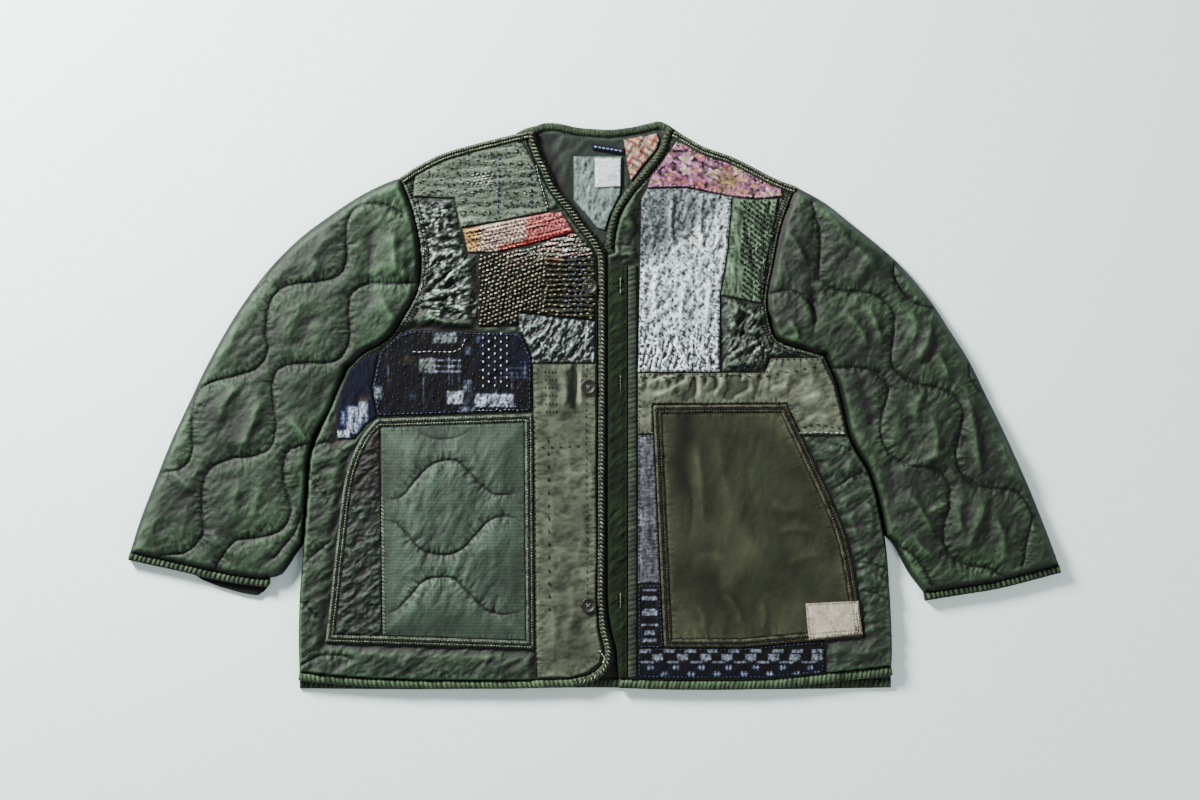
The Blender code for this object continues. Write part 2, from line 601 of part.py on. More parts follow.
def front_form(covers, quilt, folds):
    """Upper side of a front: level under what is sewn on it, quilted and folded where it shows."""

    def top(points):
        clear = clear_of(points, covers)
        padded = np.clip((clear - 8) / 12, 0, 1)
        folded = ridges(points, folds) * np.clip((clear - 1.5) / 6, 0, 1)
        return FRONT_TOP + padded * puff(points, quilt, FRONT_PUFF) + np.maximum(folded, -1.5)

    return top


def round_line(centre, radius, sides):
    """Points on a circle."""
    turn = np.linspace(0, 2 * math.pi, sides, endpoint=False)
    return np.column_stack([centre[0] + radius * np.cos(turn), centre[1] + radius * np.sin(turn)])


def build_button(name, centre, base, paint):
    """Round button with a raised rim, a dished face and its thread holes."""
    rings = []
    for radius, rise in BUTTON_PROFILE:
        ring = round_line(centre, radius * BUTTON_RADIUS, BUTTON_SIDES)
        rings.append(np.column_stack([ring, np.full(BUTTON_SIDES, base + rise * BUTTON_THICK)]))
    faces = [tuple(range(BUTTON_SIDES))]
    for ring in range(len(rings) - 1):
        for i in range(BUTTON_SIDES):
            j = (i + 1) % BUTTON_SIDES
            a, b = ring * BUTTON_SIDES, (ring + 1) * BUTTON_SIDES
            faces.append((a + i, b + i, b + j, a + j))
    faces.append(tuple((len(rings) - 1) * BUTTON_SIDES + i for i in reversed(range(BUTTON_SIDES))))
    button = add_object(name, np.vstack(rings), faces, paint)
    for number in range(BUTTON_HOLES):
        turn = (number + 0.5) * 2 * math.pi / BUTTON_HOLES
        middle = np.array(centre) + BUTTON_HOLE_SPREAD * np.array((math.cos(turn), math.sin(turn)))
        hole = round_line(middle, BUTTON_HOLE_RADIUS, BUTTON_HOLE_SIDES)
        cut(button, prism(f"cutter_{name}_{number}", hole, base - 2, base + BUTTON_THICK + 2))


def cuff_outline(seam, wide):
    """Outline of a cuff binding beyond a sleeve's end seam."""
    return closed(seam, beside(seam, wide)[::-1])


def build_cuff(side, cuff, sign, under, paint):
    """The binding of a sleeve's open end, with the lower layer where it reaches past the upper one."""
    wide = sign * CUFF_WIDE
    edge = cuff_outline(beside(cuff, sign * 0.1), wide)
    if len(under):
        far = beside(cuff, wide)
        edge = closed(cuff, np.vstack([straight(under, 8), far[: len(far) // 2][::-1]]))
    along = cuff_outline(cuff, wide)

    def form(points):
        within = np.where(inside(points, along), distance_to(points, along), 0)
        ripple = CUFF_RIPPLE * np.sin((points[:, 0] + 0.3 * points[:, 1]) * 2 * math.pi / CUFF_RIPPLE_PITCH)
        raised = CUFF_TOP - CUFF_FALL + np.minimum(within, CUFF_ROUND) * CUFF_SLOPE + ripple
        return np.where(clear_of(points, [along]) < 0.6, raised, CUFF_LOWER_TOP)

    crown = beside(cuff, wide * 0.5)
    brink = beside(cuff, wide + sign * 1.4)
    return slab(f"cuff_{side}", edge, 0.0, form, paint, np.vstack([crown, brink]), rim=0, drop=1.2)


def build_sleeve(side, lines, quilt, folds, paint, trim, sign, under):
    """A sleeve as one flattened tube, open at both ends, with its cuff binding."""
    outer, cuff, inner, body, armhole = (lines[f"{part}_{side}"] for part in SLEEVE_PARTS)
    outline = closed(outer, cuff, inner[::-1], body[::-1], armhole[::-1])
    form = sleeve_form(outline, quilt, folds)
    sleeve = slab(f"sleeve_{side}", outline, 0.0, form, paint, quilt_points(quilt, outline), rim=7.0, drop=4.0)

    # The hollow keeps a wall along both folded sides and runs out through both ends
    distances = np.full(len(outline), SLEEVE_WALL)
    middle = outline + 0.5 * (np.roll(outline, -1, axis=0) - outline)
    beyond_cuff = distance_to(middle, closed(cuff, beside(cuff, 0.1)[::-1])) < 0.5
    distances[beyond_cuff] = -CUFF_WIDE - 30.0
    trimmed = armhole[3:-3]
    at_armhole = distance_to(middle, closed(trimmed, beside(trimmed, 0.1)[::-1])) < 0.5
    distances[at_armhole] = -3.0
    cutter = prism(f"cutter_sleeve_{side}", inset(outline, distances), *SLEEVE_SLOT)
    cut(sleeve, cutter)
    cut(build_cuff(side, cuff, sign, under, trim), cutter)


def under_tape(shoulder, away, span, corners):
    """Outline of a patch whose upper edge follows the shoulder tape between two widths."""
    tape = beside(shoulder, away)
    upper = tape[(tape[:, 0] > span[0]) & (tape[:, 0] < span[1])]
    return closed(upper if away > 0 else upper[::-1], straight(corners))


def build_back(lines, paints):
    """The back with its neck and hem bindings."""
    outline = closed(
        lines["back_neck"], lines["shoulder_left"], lines["armhole_left"], lines["side_left"], lines["hip_left"],
        np.array(BACK_SIDE_LEFT[::-1], float), lines["back_hem"][::-1], np.array(BACK_SIDE_RIGHT[::-1], float),
        lines["hip_right"][::-1], lines["side_right"][::-1], lines["armhole_right"][::-1],
        lines["shoulder_right"][::-1],
    )
    slab("back", outline, 0.0, level(BACK_TOP), paints["lining_green"], rim=0, drop=0)
    rib = paints["binding_green"]
    strip("neck_binding_back", lines["back_neck"], GAP / 2, BINDING_WIDE, 0.0, NECK_BINDING_BACK_TOP, rib)
    strip("hem_binding_back", lines["back_hem"], -GAP / 2, -HEM_BINDING_WIDE, 0.0, BACK_TOP, rib)


def build_neck_pieces(paints):
    """The patches, label and hanger loop inside the back neck."""
    base = BACK_TOP + GAP
    flat = level(base + NECK_PATCH_THICK)
    slab("neck_patch_denim", polygon(DENIM), base, flat, paints["grey_denim"], rim=2.5, drop=0.3)
    slab("neck_patch_petal", polygon(PETAL), base, flat, paints["petal_print"], rim=2.5, drop=0.3)
    label = base + NECK_PATCH_THICK + GAP
    top = level(label + LABEL_THICK)
    slab("neck_label", polygon(NECK_LABEL, 40), label, top, paints["label_white"], rim=0, drop=0)
    slab("hanger_loop", polygon(LOOP, 12), base, level(base + LOOP_THICK), paints["loop_navy"], rim=2.0, drop=0.5)


def build_front(side, outline, covers, quilt, folds, gathers, bare, paint):
    """One front, level under what is sewn on it."""
    spread = front_points(outline, covers, quilt, gathers, bare)
    slab(f"front_{side}", outline, FRONT_BASE, front_form(covers, quilt, folds), paint, spread, rim=4.0, drop=1.5)


def build_fronts(lines, sewn_right, sewn_left, paint):
    """Both fronts; sewn_right and sewn_left are the outlines of what lies on them."""
    near, far = TAPE_COVER
    shoulder = lines["shoulder_right"]
    outline = closed(
        shoulder, lines["armhole_right"], lines["side_right"], lines["hip_right"], lines["hem_right"][::-1],
        lines["edge_right"][::-1], lines["neck_right"][::-1],
    )
    covers = sewn_right + [closed(beside(shoulder, near), beside(shoulder, far)[::-1])]
    build_front("right", outline, covers, QUILT_SIDE_RIGHT, FOLDS_FRONT_RIGHT, GATHERS_RIGHT, BARE_RIGHT, paint)
    shoulder = lines["shoulder_left"]
    outline = closed(
        shoulder, lines["armhole_left"], lines["side_left"], lines["hip_left"], lines["hem_left"][::-1],
        lines["edge_left"][::-1], np.array(NECK_LEFT_CORNER, float), lines["neck_left"][::-1],
    )
    covers = sewn_left + [closed(beside(shoulder, -near), beside(shoulder, -far)[::-1])]
    build_front("left", outline, covers, QUILT_SIDE_LEFT, FOLDS_FRONT_LEFT, GATHERS_LEFT, BARE_LEFT, paint)


def build_bindings(lines, rib):
    """Bindings of the front edges, neck and hem, the shoulder tapes and the ribbed edge of the left front."""
    whole = np.vstack([lines["neck_right"][:-1], lines["edge_right"][:-1], lines["hem_right"]])
    strip("binding_right", whole, GAP / 2, BINDING_WIDE, FRONT_BASE, BINDING_TOP, rib)
    neck = lines["neck_left"][:-1]
    strip("neck_binding_left", neck, -GAP / 2, -BINDING_WIDE, FRONT_BASE, BINDING_TOP, rib)
    strip("hem_binding_left", lines["hem_left"], -GAP / 2, -HEM_BINDING_WIDE, FRONT_BASE, BINDING_TOP, rib)
    near, far = SHOULDER_TAPE
    strip("shoulder_tape_right", lines["shoulder_right"], near, far, PATCH_BASE, PATCH_TOP, rib, section=SQUARE)
    strip("shoulder_tape_left", lines["shoulder_left"], -near, -far, PATCH_BASE, PATCH_TOP, rib, section=SQUARE)
    strip("edge_rib_left", spaced(RIB_ENDS, 24), GAP, BINDING_WIDE + 0.6, PATCH_BASE, RIB_TOP, rib)


def build_patch(name, outline, paint, rise, wave, turn, step=STEP, rim=3.0):
    """A sewn-on patch with drawn-up stitching."""
    top = puckered(PATCH_TOP, rise, wave, turn)
    slab(name, outline, PATCH_BASE, top, paint, lattice(outline, step), rim=rim, drop=0.3)


def build_pocket_right(outline, paints):
    """Quilted patch pocket with its facing and stitched border."""
    nylon = paints["pocket_nylon"]
    strip("pocket_border_right", outline, 0.3, TAPE_WIDE, PATCH_BASE, TAPE_TOP, nylon, True, SQUARE)
    within = inset(outline, TAPE_WIDE + 0.2)
    panel = half_of(within, POCKET_RIGHT_SEAM, 1)
    facing = half_of(within, POCKET_RIGHT_SEAM, -1)
    spread = quilt_points(QUILT_POCKET, panel)

    def form(points):
        return POCKET_TOP + puff(points, QUILT_POCKET, POCKET_PUFF)

    slab("pocket_panel_right", panel, PATCH_BASE, form, nylon, spread, rim=5.0, drop=0.6)
    rise, wave, turn, step = FACING_PUCKER
    top = puckered(POCKET_TOP + rise, rise, wave, turn)
    spread = lattice(facing, step)
    slab("pocket_facing_right", facing, PATCH_BASE, top, paints["nylon_dark"], spread, rim=3.0, drop=0.4)


def build_pocket_left(outline, paints):
    """Plain patch pocket with its stitched border and label."""
    olive = paints["olive_cotton"]
    strip("pocket_border_left", outline, 0.3, TAPE_WIDE, PATCH_BASE, TAPE_TOP, olive, True, SQUARE)
    within = inset(outline, TAPE_WIDE + 0.2)
    spread = lattice(within, 19)
    spread = spread[clear_of(spread, [polygon(POCKET_LABEL)]) > 6]

    def form(points):
        return POCKET_TOP + ridges(points, FOLDS_POCKET_LEFT)

    slab("pocket_panel_left", within, PATCH_BASE, form, olive, spread, rim=4.0, drop=0.4)
    top = level(LABEL_BASE + LABEL_THICK)
    slab("pocket_label", polygon(POCKET_LABEL, 30), LABEL_BASE, top, paints["label_white"], rim=0, drop=0)


def clear_scene():
    """Start from an empty scene."""
    for old in list(bpy.data.objects):
        bpy.data.objects.remove(old, do_unlink=True)


def centre_on_origin():
    """Stand the jacket's box on the origin."""
    solids = [o for o in bpy.data.objects if not o.hide_render]
    low, high = np.full(3, np.inf), np.full(3, -np.inf)
    for o in solids:
        points = np.array([v.co for v in o.data.vertices])
        low, high = np.minimum(low, points.min(axis=0)), np.maximum(high, points.max(axis=0))
    shift = np.array([(low[0] + high[0]) / 2, (low[1] + high[1]) / 2, low[2]])
    for o in bpy.data.objects:
        points = np.array([v.co for v in o.data.vertices]) - shift
        o.data.vertices.foreach_set("co", points.ravel())
        o.data.update()


def main():
    """Build every piece."""
    clear_scene()
    paints = {name: material(name, *look) for name, look in CLOTHS.items()}
    lines = {name: curve(*given) for name, given in LINES.items()}
    pocket_right = closed(curve(POCKET_RIGHT_OPENING), straight(POCKET_RIGHT_STRAIGHT))
    pocket_left = closed(curve(POCKET_LEFT_OPENING), straight(POCKET_LEFT_STRAIGHT))
    sage = under_tape(lines["shoulder_right"], PATCH_FROM_SHOULDER, SAGE_SPAN, SAGE)
    yoke = under_tape(lines["shoulder_left"], -PATCH_FROM_SHOULDER, YOKE_SPAN, FLORAL_YOKE)
    band = closed(beside(lines["edge_left"], BAND_FROM_EDGE), straight(BAND_CORNERS))
    right = {"patch_sage": (sage, *SAGE_PUCKER)}
    right |= {name: (polygon(corners, step), *rest) for name, (corners, step, *rest) in PATCHES_RIGHT.items()}
    left = {"patch_floral": (yoke, *YOKE_PUCKER)}
    left |= {name: (polygon(corners, step), *rest) for name, (corners, step, *rest) in PATCHES_LEFT.items()}

    build_back(lines, paints)
    sewn_right = [outline for outline, *_ in right.values()] + [pocket_right]
    sewn_left = [outline for outline, *_ in left.values()] + [pocket_left, band]
    build_fronts(lines, sewn_right, sewn_left, paints["nylon_green"])
    build_bindings(lines, paints["binding_green"])
    rib = paints["binding_green"]
    build_sleeve("right", lines, QUILT_SLEEVE_RIGHT, FOLDS_SLEEVE_RIGHT, paints["nylon_green"], rib, -1,
                 CUFF_UNDER_RIGHT)
    build_sleeve("left", lines, QUILT_SLEEVE_LEFT, FOLDS_SLEEVE_LEFT, paints["nylon_dark"], rib, 1, ())
    for name, (outline, cloth, rise, wave, turn) in (right | left).items():
        build_patch(name, outline, paints[cloth], rise, wave, turn)
    rise, wave, turn, step = BAND_PUCKER
    build_patch("buttonhole_band", band, paints["nylon_dark"], rise, wave, turn, step, 2.5)
    build_pocket_right(pocket_right, paints)
    build_pocket_left(pocket_left, paints)
    build_neck_pieces(paints)
    for number, centre in enumerate(BUTTONS, start=1):
        build_button(f"button_{number}", centre, PATCH_TOP + GAP, paints["button_brown"])
    centre_on_origin()


main()
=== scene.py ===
"""Cloth, stitching, light and camera for a patched, quilted jacket laid flat.

Plan sizes are millimetres with +X to the viewer's right, +Y up to the collar and +Z up off the floor;
right and left mean the wearer's. Every piece of cloth is a square grid lifted to a height that is a
function of x and y, or a profile carried along a path.
"""

import math

import bpy
import numpy as np
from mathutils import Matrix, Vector


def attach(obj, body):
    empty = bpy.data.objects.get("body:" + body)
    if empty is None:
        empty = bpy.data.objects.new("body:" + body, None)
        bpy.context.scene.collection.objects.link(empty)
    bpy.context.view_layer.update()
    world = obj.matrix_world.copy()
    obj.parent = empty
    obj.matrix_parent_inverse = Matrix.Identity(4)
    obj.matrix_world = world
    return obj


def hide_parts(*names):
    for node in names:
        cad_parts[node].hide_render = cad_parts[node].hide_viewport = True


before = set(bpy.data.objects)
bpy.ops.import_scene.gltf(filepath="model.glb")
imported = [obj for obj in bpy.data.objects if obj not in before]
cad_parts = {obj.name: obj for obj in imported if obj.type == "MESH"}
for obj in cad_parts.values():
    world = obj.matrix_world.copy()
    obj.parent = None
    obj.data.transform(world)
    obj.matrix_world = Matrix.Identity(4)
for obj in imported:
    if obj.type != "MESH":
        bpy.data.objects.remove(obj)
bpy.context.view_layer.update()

bl_info = {
    "name": "Patched jacket dressing",
    "version": (1, 0, 0),
    "blender": (4, 5, 0),
    "location": "3D View > Sidebar > Jacket",
    "description": "Quilted cloth, patches, bindings and stitching of a patched jacket",
    "category": "Object",
}

# Millimetres from the frame's origin to the charts' own, and the metres in a millimetre
SHIFT = np.array([0.217, -2.244])
MM = 0.001

# Colours are given as the eye sees them on the lit cloth; the dye itself is deeper, dark dyes most
DYE_DEPTH = 0.62
DYE_RANGE = 1.8

# Levels of the layers, as the solids have them
BACK_TOP = 5.0
FRONT_BASE = 5.4
FRONT_TOP = 11.0
PATCH_BASE = 11.4
PATCH_TOP = 12.7
POCKET_TOP = 13.4
SLEEVE_TOP = 11.5
SLEEVE_SLOT = (5.4, 6.4)
LINING_TOP = 4.7

# How far each cloth stays inside its outline, how wide the bindings are, and how far apart their points lie
SEAM = 0.2
EDGE_WIDE, HEM_WIDE, BORDER_WIDE, CUFF_WIDE = 9.4, 10.5, 9.3, 10
BINDING_STEP = 1.3

# The floor's half width and level, just under the cloth, and the place under the camera, in metres
FLOOR_HALF, FLOOR_LEVEL = 6, -0.0004
CAMERA_OVER = (0.0063, 0.0064)

# Least width of a cut in metres, and least share of its rectangle that a cut fills
NARROWEST_CUT, LEAST_FILLED = 0.0101, 0.301

# Edge lines, x and y of each point in turn: a smooth curve goes through them
CHAINS = {
    "neck_right": (-79, 321, -79, 310, -71, 289, -62, 270, -53, 251, -36, 230, -19, 207, -5, 189, 3, 174),
    "edge_right": (3, 174, 4, 146, 4, 4, 3, -185, 3, -232, 6, -267, 12, -291, 9, -307, -5, -319, -29, -325),
    "hem_right": (-29, -325, -111, -327, -229, -326, -300, -322, -348, -317),
    "shoulder_right": (-79, 321, -109, 314, -145, 305, -181, 294, -212, 278, -230, 266),
    "armhole_right": (-230, 266, -217, 234, -208, 199, -205, 167, -207, 140, -215, 120, -225, 103, -239, 82,
        -255, 69, -273, 60, -291, 42),
    "side_right": (-291, 42, -303, 14, -313, -10, -325, -34, -335, -63, -339, -114, -343, -165),
    "hip_right": (-343, -165, -345, -190, -348, -232, -349, -279, -348, -317),
    "outer_right": (-230, 266, -247, 260, -277, 245, -312, 222, -348, 195, -383, 160, -412, 122, -436, 84,
        -460, 40, -477, 4, -499, -43, -519, -93, -536, -137, -548, -175),
    "cuff_right": (-548, -175, -497, -186, -434, -200, -391, -206, -383, -206),
    "inner_right": (-343, -165, -351, -176, -368, -201, -383, -206),
    "neck_left": (95, 322, 89, 310, 86, 299, 75, 283, 60, 264, 44, 245, 32, 226, 26, 207, 23, 190, 23, 178),
    "shoulder_left": (95, 322, 101, 319, 129, 303, 160, 292, 187, 279, 214, 265, 238, 256),
    "armhole_left": (238, 256, 226, 226, 218, 199, 211, 163, 205, 134, 204, 115, 207, 95, 214, 77, 231, 68,
        250, 63, 271, 56),
    "side_left": (271, 56, 285, 24, 293, -8, 299, -35, 309, -57, 322, -78, 332, -108, 342, -156),
    "hip_left": (342, -156, 345, -178, 348, -220, 350, -255, 351, -291, 350, -310),
    "edge_left": (15, 163, 15, 4, 15, -185, 16, -240, 20, -267, 26, -291, 27, -309, 29, -325),
    "hem_left": (29, -325, 100, -327, 200, -326, 278, -318, 350, -310),
    "outer_left": (238, 256, 272, 237, 301, 214, 337, 185, 366, 158, 396, 122, 419, 87, 443, 49, 461, 12,
        478, -22, 496, -61, 514, -102, 532, -147, 548, -190),
    "cuff_left": (548, -190, 478, -208, 431, -216, 388, -223),
    "inner_left": (342, -156, 353, -167, 370, -199, 388, -223),
    "back_neck": (-66, 319, -57, 322, -41, 321, -24, 317, -4, 315, 19, 314, 38, 316, 51, 318, 63, 321,
        76, 324),
    "back_hem": (-348, -326, -200, -327, 0, -325, 200, -327, 350, -325),
    "opening_right": (-317, -281, -311, -230, -305, -175, -294, -90, -277, -44, -257, -18),
    "opening_left": (226, -1, 252, -56, 278, -112, 297, -162, 310, -232, 317, -274),
}

# Corners of what is sewn on, and of the ground under the left front's rib
SHAPES = {
    "patch_madder": (-156, 206, -149, 178, -112, 179, -53, 194, -24, 202, -39, 226, -54, 225, -80, 220),
    "patch_darned_right": (-137, 177, -137, 91, -90, 93, -90, 108, 1, 98, 1, 172, -10, 191, -24, 201,
        -53, 193, -112, 178),
    "patch_crinkled": (-90, 107, -90, 84, -86, 83, -74, 54, -74, 48, 1, 48, 1, 97),
    "patch_indigo": (-253, 62, -237, 76, -226, 83, -211, 87, -91, 83, -86, 82, -74, 53, -74, -9,
        -133, -10.5, -181, -12.5, -256, -15, -262, 20),
    "patch_indigo_tail": (-254, 62, -270, 55, -288, 40, -299, 14, -305, -15, -303, -41, -283, -41,
        -270, -24, -257, -15, -263, 20),
    "patch_khaki_strip": (-73, 47, 2, 47, 2.5, -185, 1.5, -232, 4, -267, 9.5, -291, 6, -305, -7, -317,
        -29, -323, -67, -323.5, -69.5, -290, -72, -12),
    "patch_silver": (51, 37, 148, 37, 148, 128, 157, 180, 162, 243.5, 108, 254, 62, 253, 55, 240),
    "patch_darned_left": (162.5, 243.5, 190, 240.5, 217, 242, 209, 200, 202, 165, 197, 134, 197, 118,
        149, 128, 157.5, 180),
    "patch_khaki_band": (51, 36, 201, 36.5, 207, 54, 267, 54, 282, 24, 290.5, -8, 296.5, -37, 244, -37,
        227, 0, 68.5, -1, 69.5, -36, 51, -36),
    "patch_mauve": (51, -37, 70, -37, 78, -212, 51, -212),
    "patch_kasuri_upright": (51, -213, 78, -213, 81.5, -288, 51, -288),
    "patch_kasuri_band": (51, -289, 82, -288, 174, -288, 271, -279, 271, -317, 200, -323.5, 100, -324,
        51, -323),
    "pocket_label": (248, -235, 311, -232, 316, -272, 252, -279),
    "neck_patch_denim": (-25, 292, 33, 292, 31, 248, 19, 224, 12, 204, 3, 207, -9, 222, -25, 240),
    "neck_label": (0, 254, 31, 256, 31.5, 290, 0, 290),
    "neck_patch_petal": (34, 312, 52, 315, 74, 319, 77, 310, 72, 298, 57, 281, 43, 262, 38, 285),
    "hanger_loop": (-3, 307, 35, 301, 35, 294, -3, 300),
    "under_rib": (38, 163, 49.5, 163, 49.5, -323, 38, -323),
}

# Parts of outlines that go on from a chain
SAGE = ((-214, 244), (-165, 242), (-158, 207), (-80, 221), (-54, 226), (-70, 281), (-84, 306))
FLORAL_YOKE = ((96, 308), (88, 297), (77, 281), (65, 266), (62, 254), (108, 254.5), (162, 244), (190, 241),
               (222, 244))
CUFF_UNDER = ((-383, -213), (-390, -222), (-398, -227), (-416, -224), (-441, -217), (-463, -208.5))
BAND = ((38.8, -322), (38.8, 163))
FRONT_CORNER = ((15, 176), (23, 178))
POCKETS = {
    "_right": ((-257, -18), (-73, -12), (-71, -289), (-317, -281)),
    "_left": ((317, -274), (174, -287), (82, -287), (69, -2), (226, -1)),
}
POCKET_SEAM = (-253, 0, -250, -300)
BUTTONS = ((-5.5, 137.8), (-7.1, 19.5), (-7.1, -237.8))

# Share of a button's radius and height at each ring of its turned profile
BUTTON_PROFILE = (
    (0.13, 0.5), (0.26, 0.51), (0.4, 0.52), (0.52, 0.55), (0.62, 0.62), (0.68, 0.75), (0.76, 0.93),
    (0.85, 1.0), (0.93, 0.97), (0.98, 0.86), (1.0, 0.66), (0.99, 0.42), (0.94, 0.18), (0.86, 0.0),
)
BUTTON_RADIUS, BUTTON_TALL, BUTTON_SIDES = 9.0, 3.3, 64

# Quilting lines
QUILT_SLEEVE_RIGHT = (
    (-226, 224, -252, 235, -278, 232, -290, 216, -292, 193, -291, 173, -298, 153, -315, 145, -355, 140,
     -375, 130, -384, 110, -386, 83, -384, 61, -398, 41, -424, 32, -451, 25, -467, 14, -473, -6, -473, -39,
     -473, -55, -484, -75, -517, -83),
    (-205, 143, -239, 141, -268, 141, -285, 130, -289, 110, -288, 77, -298, 55, -315, 48, -348, 47,
     -371, 41, -379, 21, -376, -12, -375, -29, -381, -52, -401, -62, -428, -65, -451, -77, -461, -99,
     -461, -132, -461, -155, -481, -175, -510, -178),
    (-312, -30, -332, -44, -348, -50, -362, -58, -366, -82, -362, -105, -357, -125, -368, -148, -395, -158,
     -421, -161, -437, -178, -449, -198),
    (-372, 168, -384, 153, -391, 140, -412, 125),
    (-346, -130, -352, -150, -366, -168, -378, -182),
)
QUILT_SLEEVE_LEFT = (
    (256, 236, 261, 219, 266, 199, 265, 176, 264, 150, 270, 144, 283, 134, 305, 131, 325, 130, 341, 121,
     352, 108, 353, 95, 351, 73, 349, 50, 357, 37, 377, 24, 405, 18, 425, 8, 434, -11, 430, -34, 425, -60,
     431, -80, 448, -96, 470, -100, 496, -103, 509, -119, 514, -134, 509, -160, 504, -189),
    (342, 176, 352, 169, 353, 150, 364, 131, 379, 118, 396, 113, 416, 108),
    (462, 16, 443, 67, 440, 41, 448, 21, 467, 2, 487, -15),
    (262, 62, 277, 43, 305, 42, 328, 38, 341, 28, 346, 15, 339, -11, 337, -37, 348, -60, 370, -73, 396, -76,
     412, -86, 418, -102, 416, -124, 410, -150, 416, -176, 435, -189, 464, -194, 477, -202),
    (357, -167, 377, -180, 390, -196, 398, -215),
    (206, 128, 222, 133, 240, 129, 256, 118),
)
QUILT_POCKET = (
    (-213, -18, -213, -23, -202, -36, -181, -42, -159, -38, -139, -24, -134, -16),
    (-254, -110, -250, -111, -238, -113, -225, -108, -213, -93, -195, -74, -178, -67, -161, -68, -148, -80,
     -132, -97, -119, -106, -104, -107, -78, -102),
    (-257, -136, -252, -137, -235, -140, -222, -152, -208, -169, -195, -176, -175, -178, -159, -173,
     -143, -158, -127, -140, -112, -133, -96, -134, -78, -142),
    (-258, -244, -242, -246, -230, -240, -215, -224, -200, -208, -181, -204, -166, -206, -153, -218,
     -136, -235, -123, -245, -104, -248, -78, -242),
    (-123, -286, -106, -277, -82, -281),
    (-254, -274, -232, -281),
)
QUILT_FRONT_RIGHT = (
    (-345, -80, -335, -88, -313, -114),
    (-350, -196, -342, -188, -307, -158),
    (-352, -226, -348, -231, -318, -259),
    (-348, -309, -326, -298, -303, -296, -286, -300),
    (-330, -50, -315, -45, -290, -60),
)
QUILT_FRONT_LEFT = (
    (277, -104, 310, -82, 322, -84, 337, -90),
    (300, -187, 322, -188, 340, -193, 351, -199),
    (308, -222, 322, -221, 345, -230, 355, -235),
    (270, -44, 285, -48, 305, -55),
    (15, 187, 34, 187, 55, 186),
    (15, 164.5, 34, 165, 55, 165),
)

# Laid folds: the three points of a fold's line, its height and its half width; a negative height is a trough
FOLDS_SLEEVE_RIGHT = (
    (-237, 205, -236, 178, -233, 150, 6, 8), (-252, 127, -243, 108, -231, 92, 4, 7),
    (-418, 24, -433, 2, -444, -22, 4, 7), (-388, 11, -402, -22, -418, -59, 5, 8),
    (-361, -16, -346, -33, -332, -52, 4, 7), (-322, 170, -332, 155, -342, 143, 4, 7),
    (-262, 215, -264, 175, -268, 105, -5, 12), (-300, 40, -318, 10, -330, -20, -4, 12),
    (-500, -70, -486, -88, -470, -105, 4, 7), (-452, -150, -440, -165, -425, -178, 3, 6),
    (-260, 240, -280, 222, -300, 200, 3, 9), (-345, 120, -352, 98, -364, 70, 3, 8),
    (-420, 100, -428, 70, -446, 46, 2.5, 8), (-325, 110, -340, 84, -345, 60, -2.5, 10),
    (-415, -90, -424, -118, -420, -145, 3, 9), (-505, -100, -515, -130, -525, -160, 2.5, 9),
    (-222, 190, -226, 165, -224, 145, 3, 6), (-350, -75, -348, -100, -352, -120, -2.5, 6),
    (-390, -80, -396, -110, -404, -140, 2, 8), (-300, 200, -318, 190, -340, 165, 2, 8),
)
FOLDS_SLEEVE_LEFT = (
    (265, 238, 285, 212, 302, 180, 4, 8), (396, 93, 390, 70, 379, 50, 6, 7),
    (386, 15, 378, -4, 375, -21, 4.5, 7), (435, 21, 446, -30, 454, -93, 5, 7),
    (461, -106, 450, -142, 435, -176, 5.5, 7), (351, -80, 385, -68, 418, -54, 4, 7),
    (390, -128, 404, -122, 418, -115, 4, 6), (238, 140, 252, 110, 260, 76, 4, 7),
    (330, 178, 316, 158, 300, 140, 4, 8), (345, -60, 350, -90, 352, -120, -4, 10),
    (310, 40, 322, 0, 330, -40, -4, 10), (500, -105, 510, -132, 520, -160, 4, 8),
    (253, 148, 260, 112, 256, 73, -5, 5), (222, 205, 236, 190, 250, 160, 4, 6),
    (228, 100, 236, 88, 240, 72, 4, 5), (290, 110, 310, 90, 322, 62, 4, 7),
    (318, 118, 330, 95, 338, 70, 3.5, 6), (400, 60, 410, 46, 416, 28, 4, 6),
    (365, 5, 370, -25, 380, -60, -3, 7), (395, -10, 402, -40, 398, -70, 4, 7),
    (428, -30, 440, -60, 447, -90, -3, 6), (480, -40, 486, -66, 500, -92, 3.5, 7),
    (432, -105, 428, -130, 434, -160, 4, 7), (365, -100, 380, -120, 400, -160, 4.5, 7),
    (372, -150, 384, -170, 400, -182, 4, 6), (470, -130, 480, -160, 478, -190, 4, 7),
    (300, 190, 322, 170, 335, 150, 3, 6), (370, 110, 378, 92, 372, 70, 3, 6),
)
FOLDS_FRONT_RIGHT = (
    (-204, 122, -180, 140, -146, 172, 5, 3.5), (-205, 126, -186, 150, -166, 172, 5, 3),
    (-204, 132, -196, 156, -184, 180, 4.5, 3), (-203, 116, -178, 118, -144, 108, 5, 3.5),
    (-204, 120, -180, 130, -142, 138, 4.5, 3), (-206, 236, -186, 228, -163, 226, 3.5, 3.5),
    (-206, 222, -184, 214, -161, 212, 3.5, 3), (-204, 208, -182, 200, -158, 200, 3.5, 3),
    (-203, 194, -180, 188, -154, 190, 3, 3), (-203, 182, -182, 176, -158, 180, 3, 3),
    (-200, 104, -172, 96, -142, 95, 3.5, 3), (-202, 170, -188, 160, -176, 156, 2.5, 3),
    (-194, 240, -190, 205, -192, 182, -2.5, 5), (-172, 236, -168, 205, -166, 180, -2.5, 4),
    (-120, -294, -128, -304, -130, -314, 2, 4), (-210, -292, -222, -302, -226, -313, 2, 4),
)
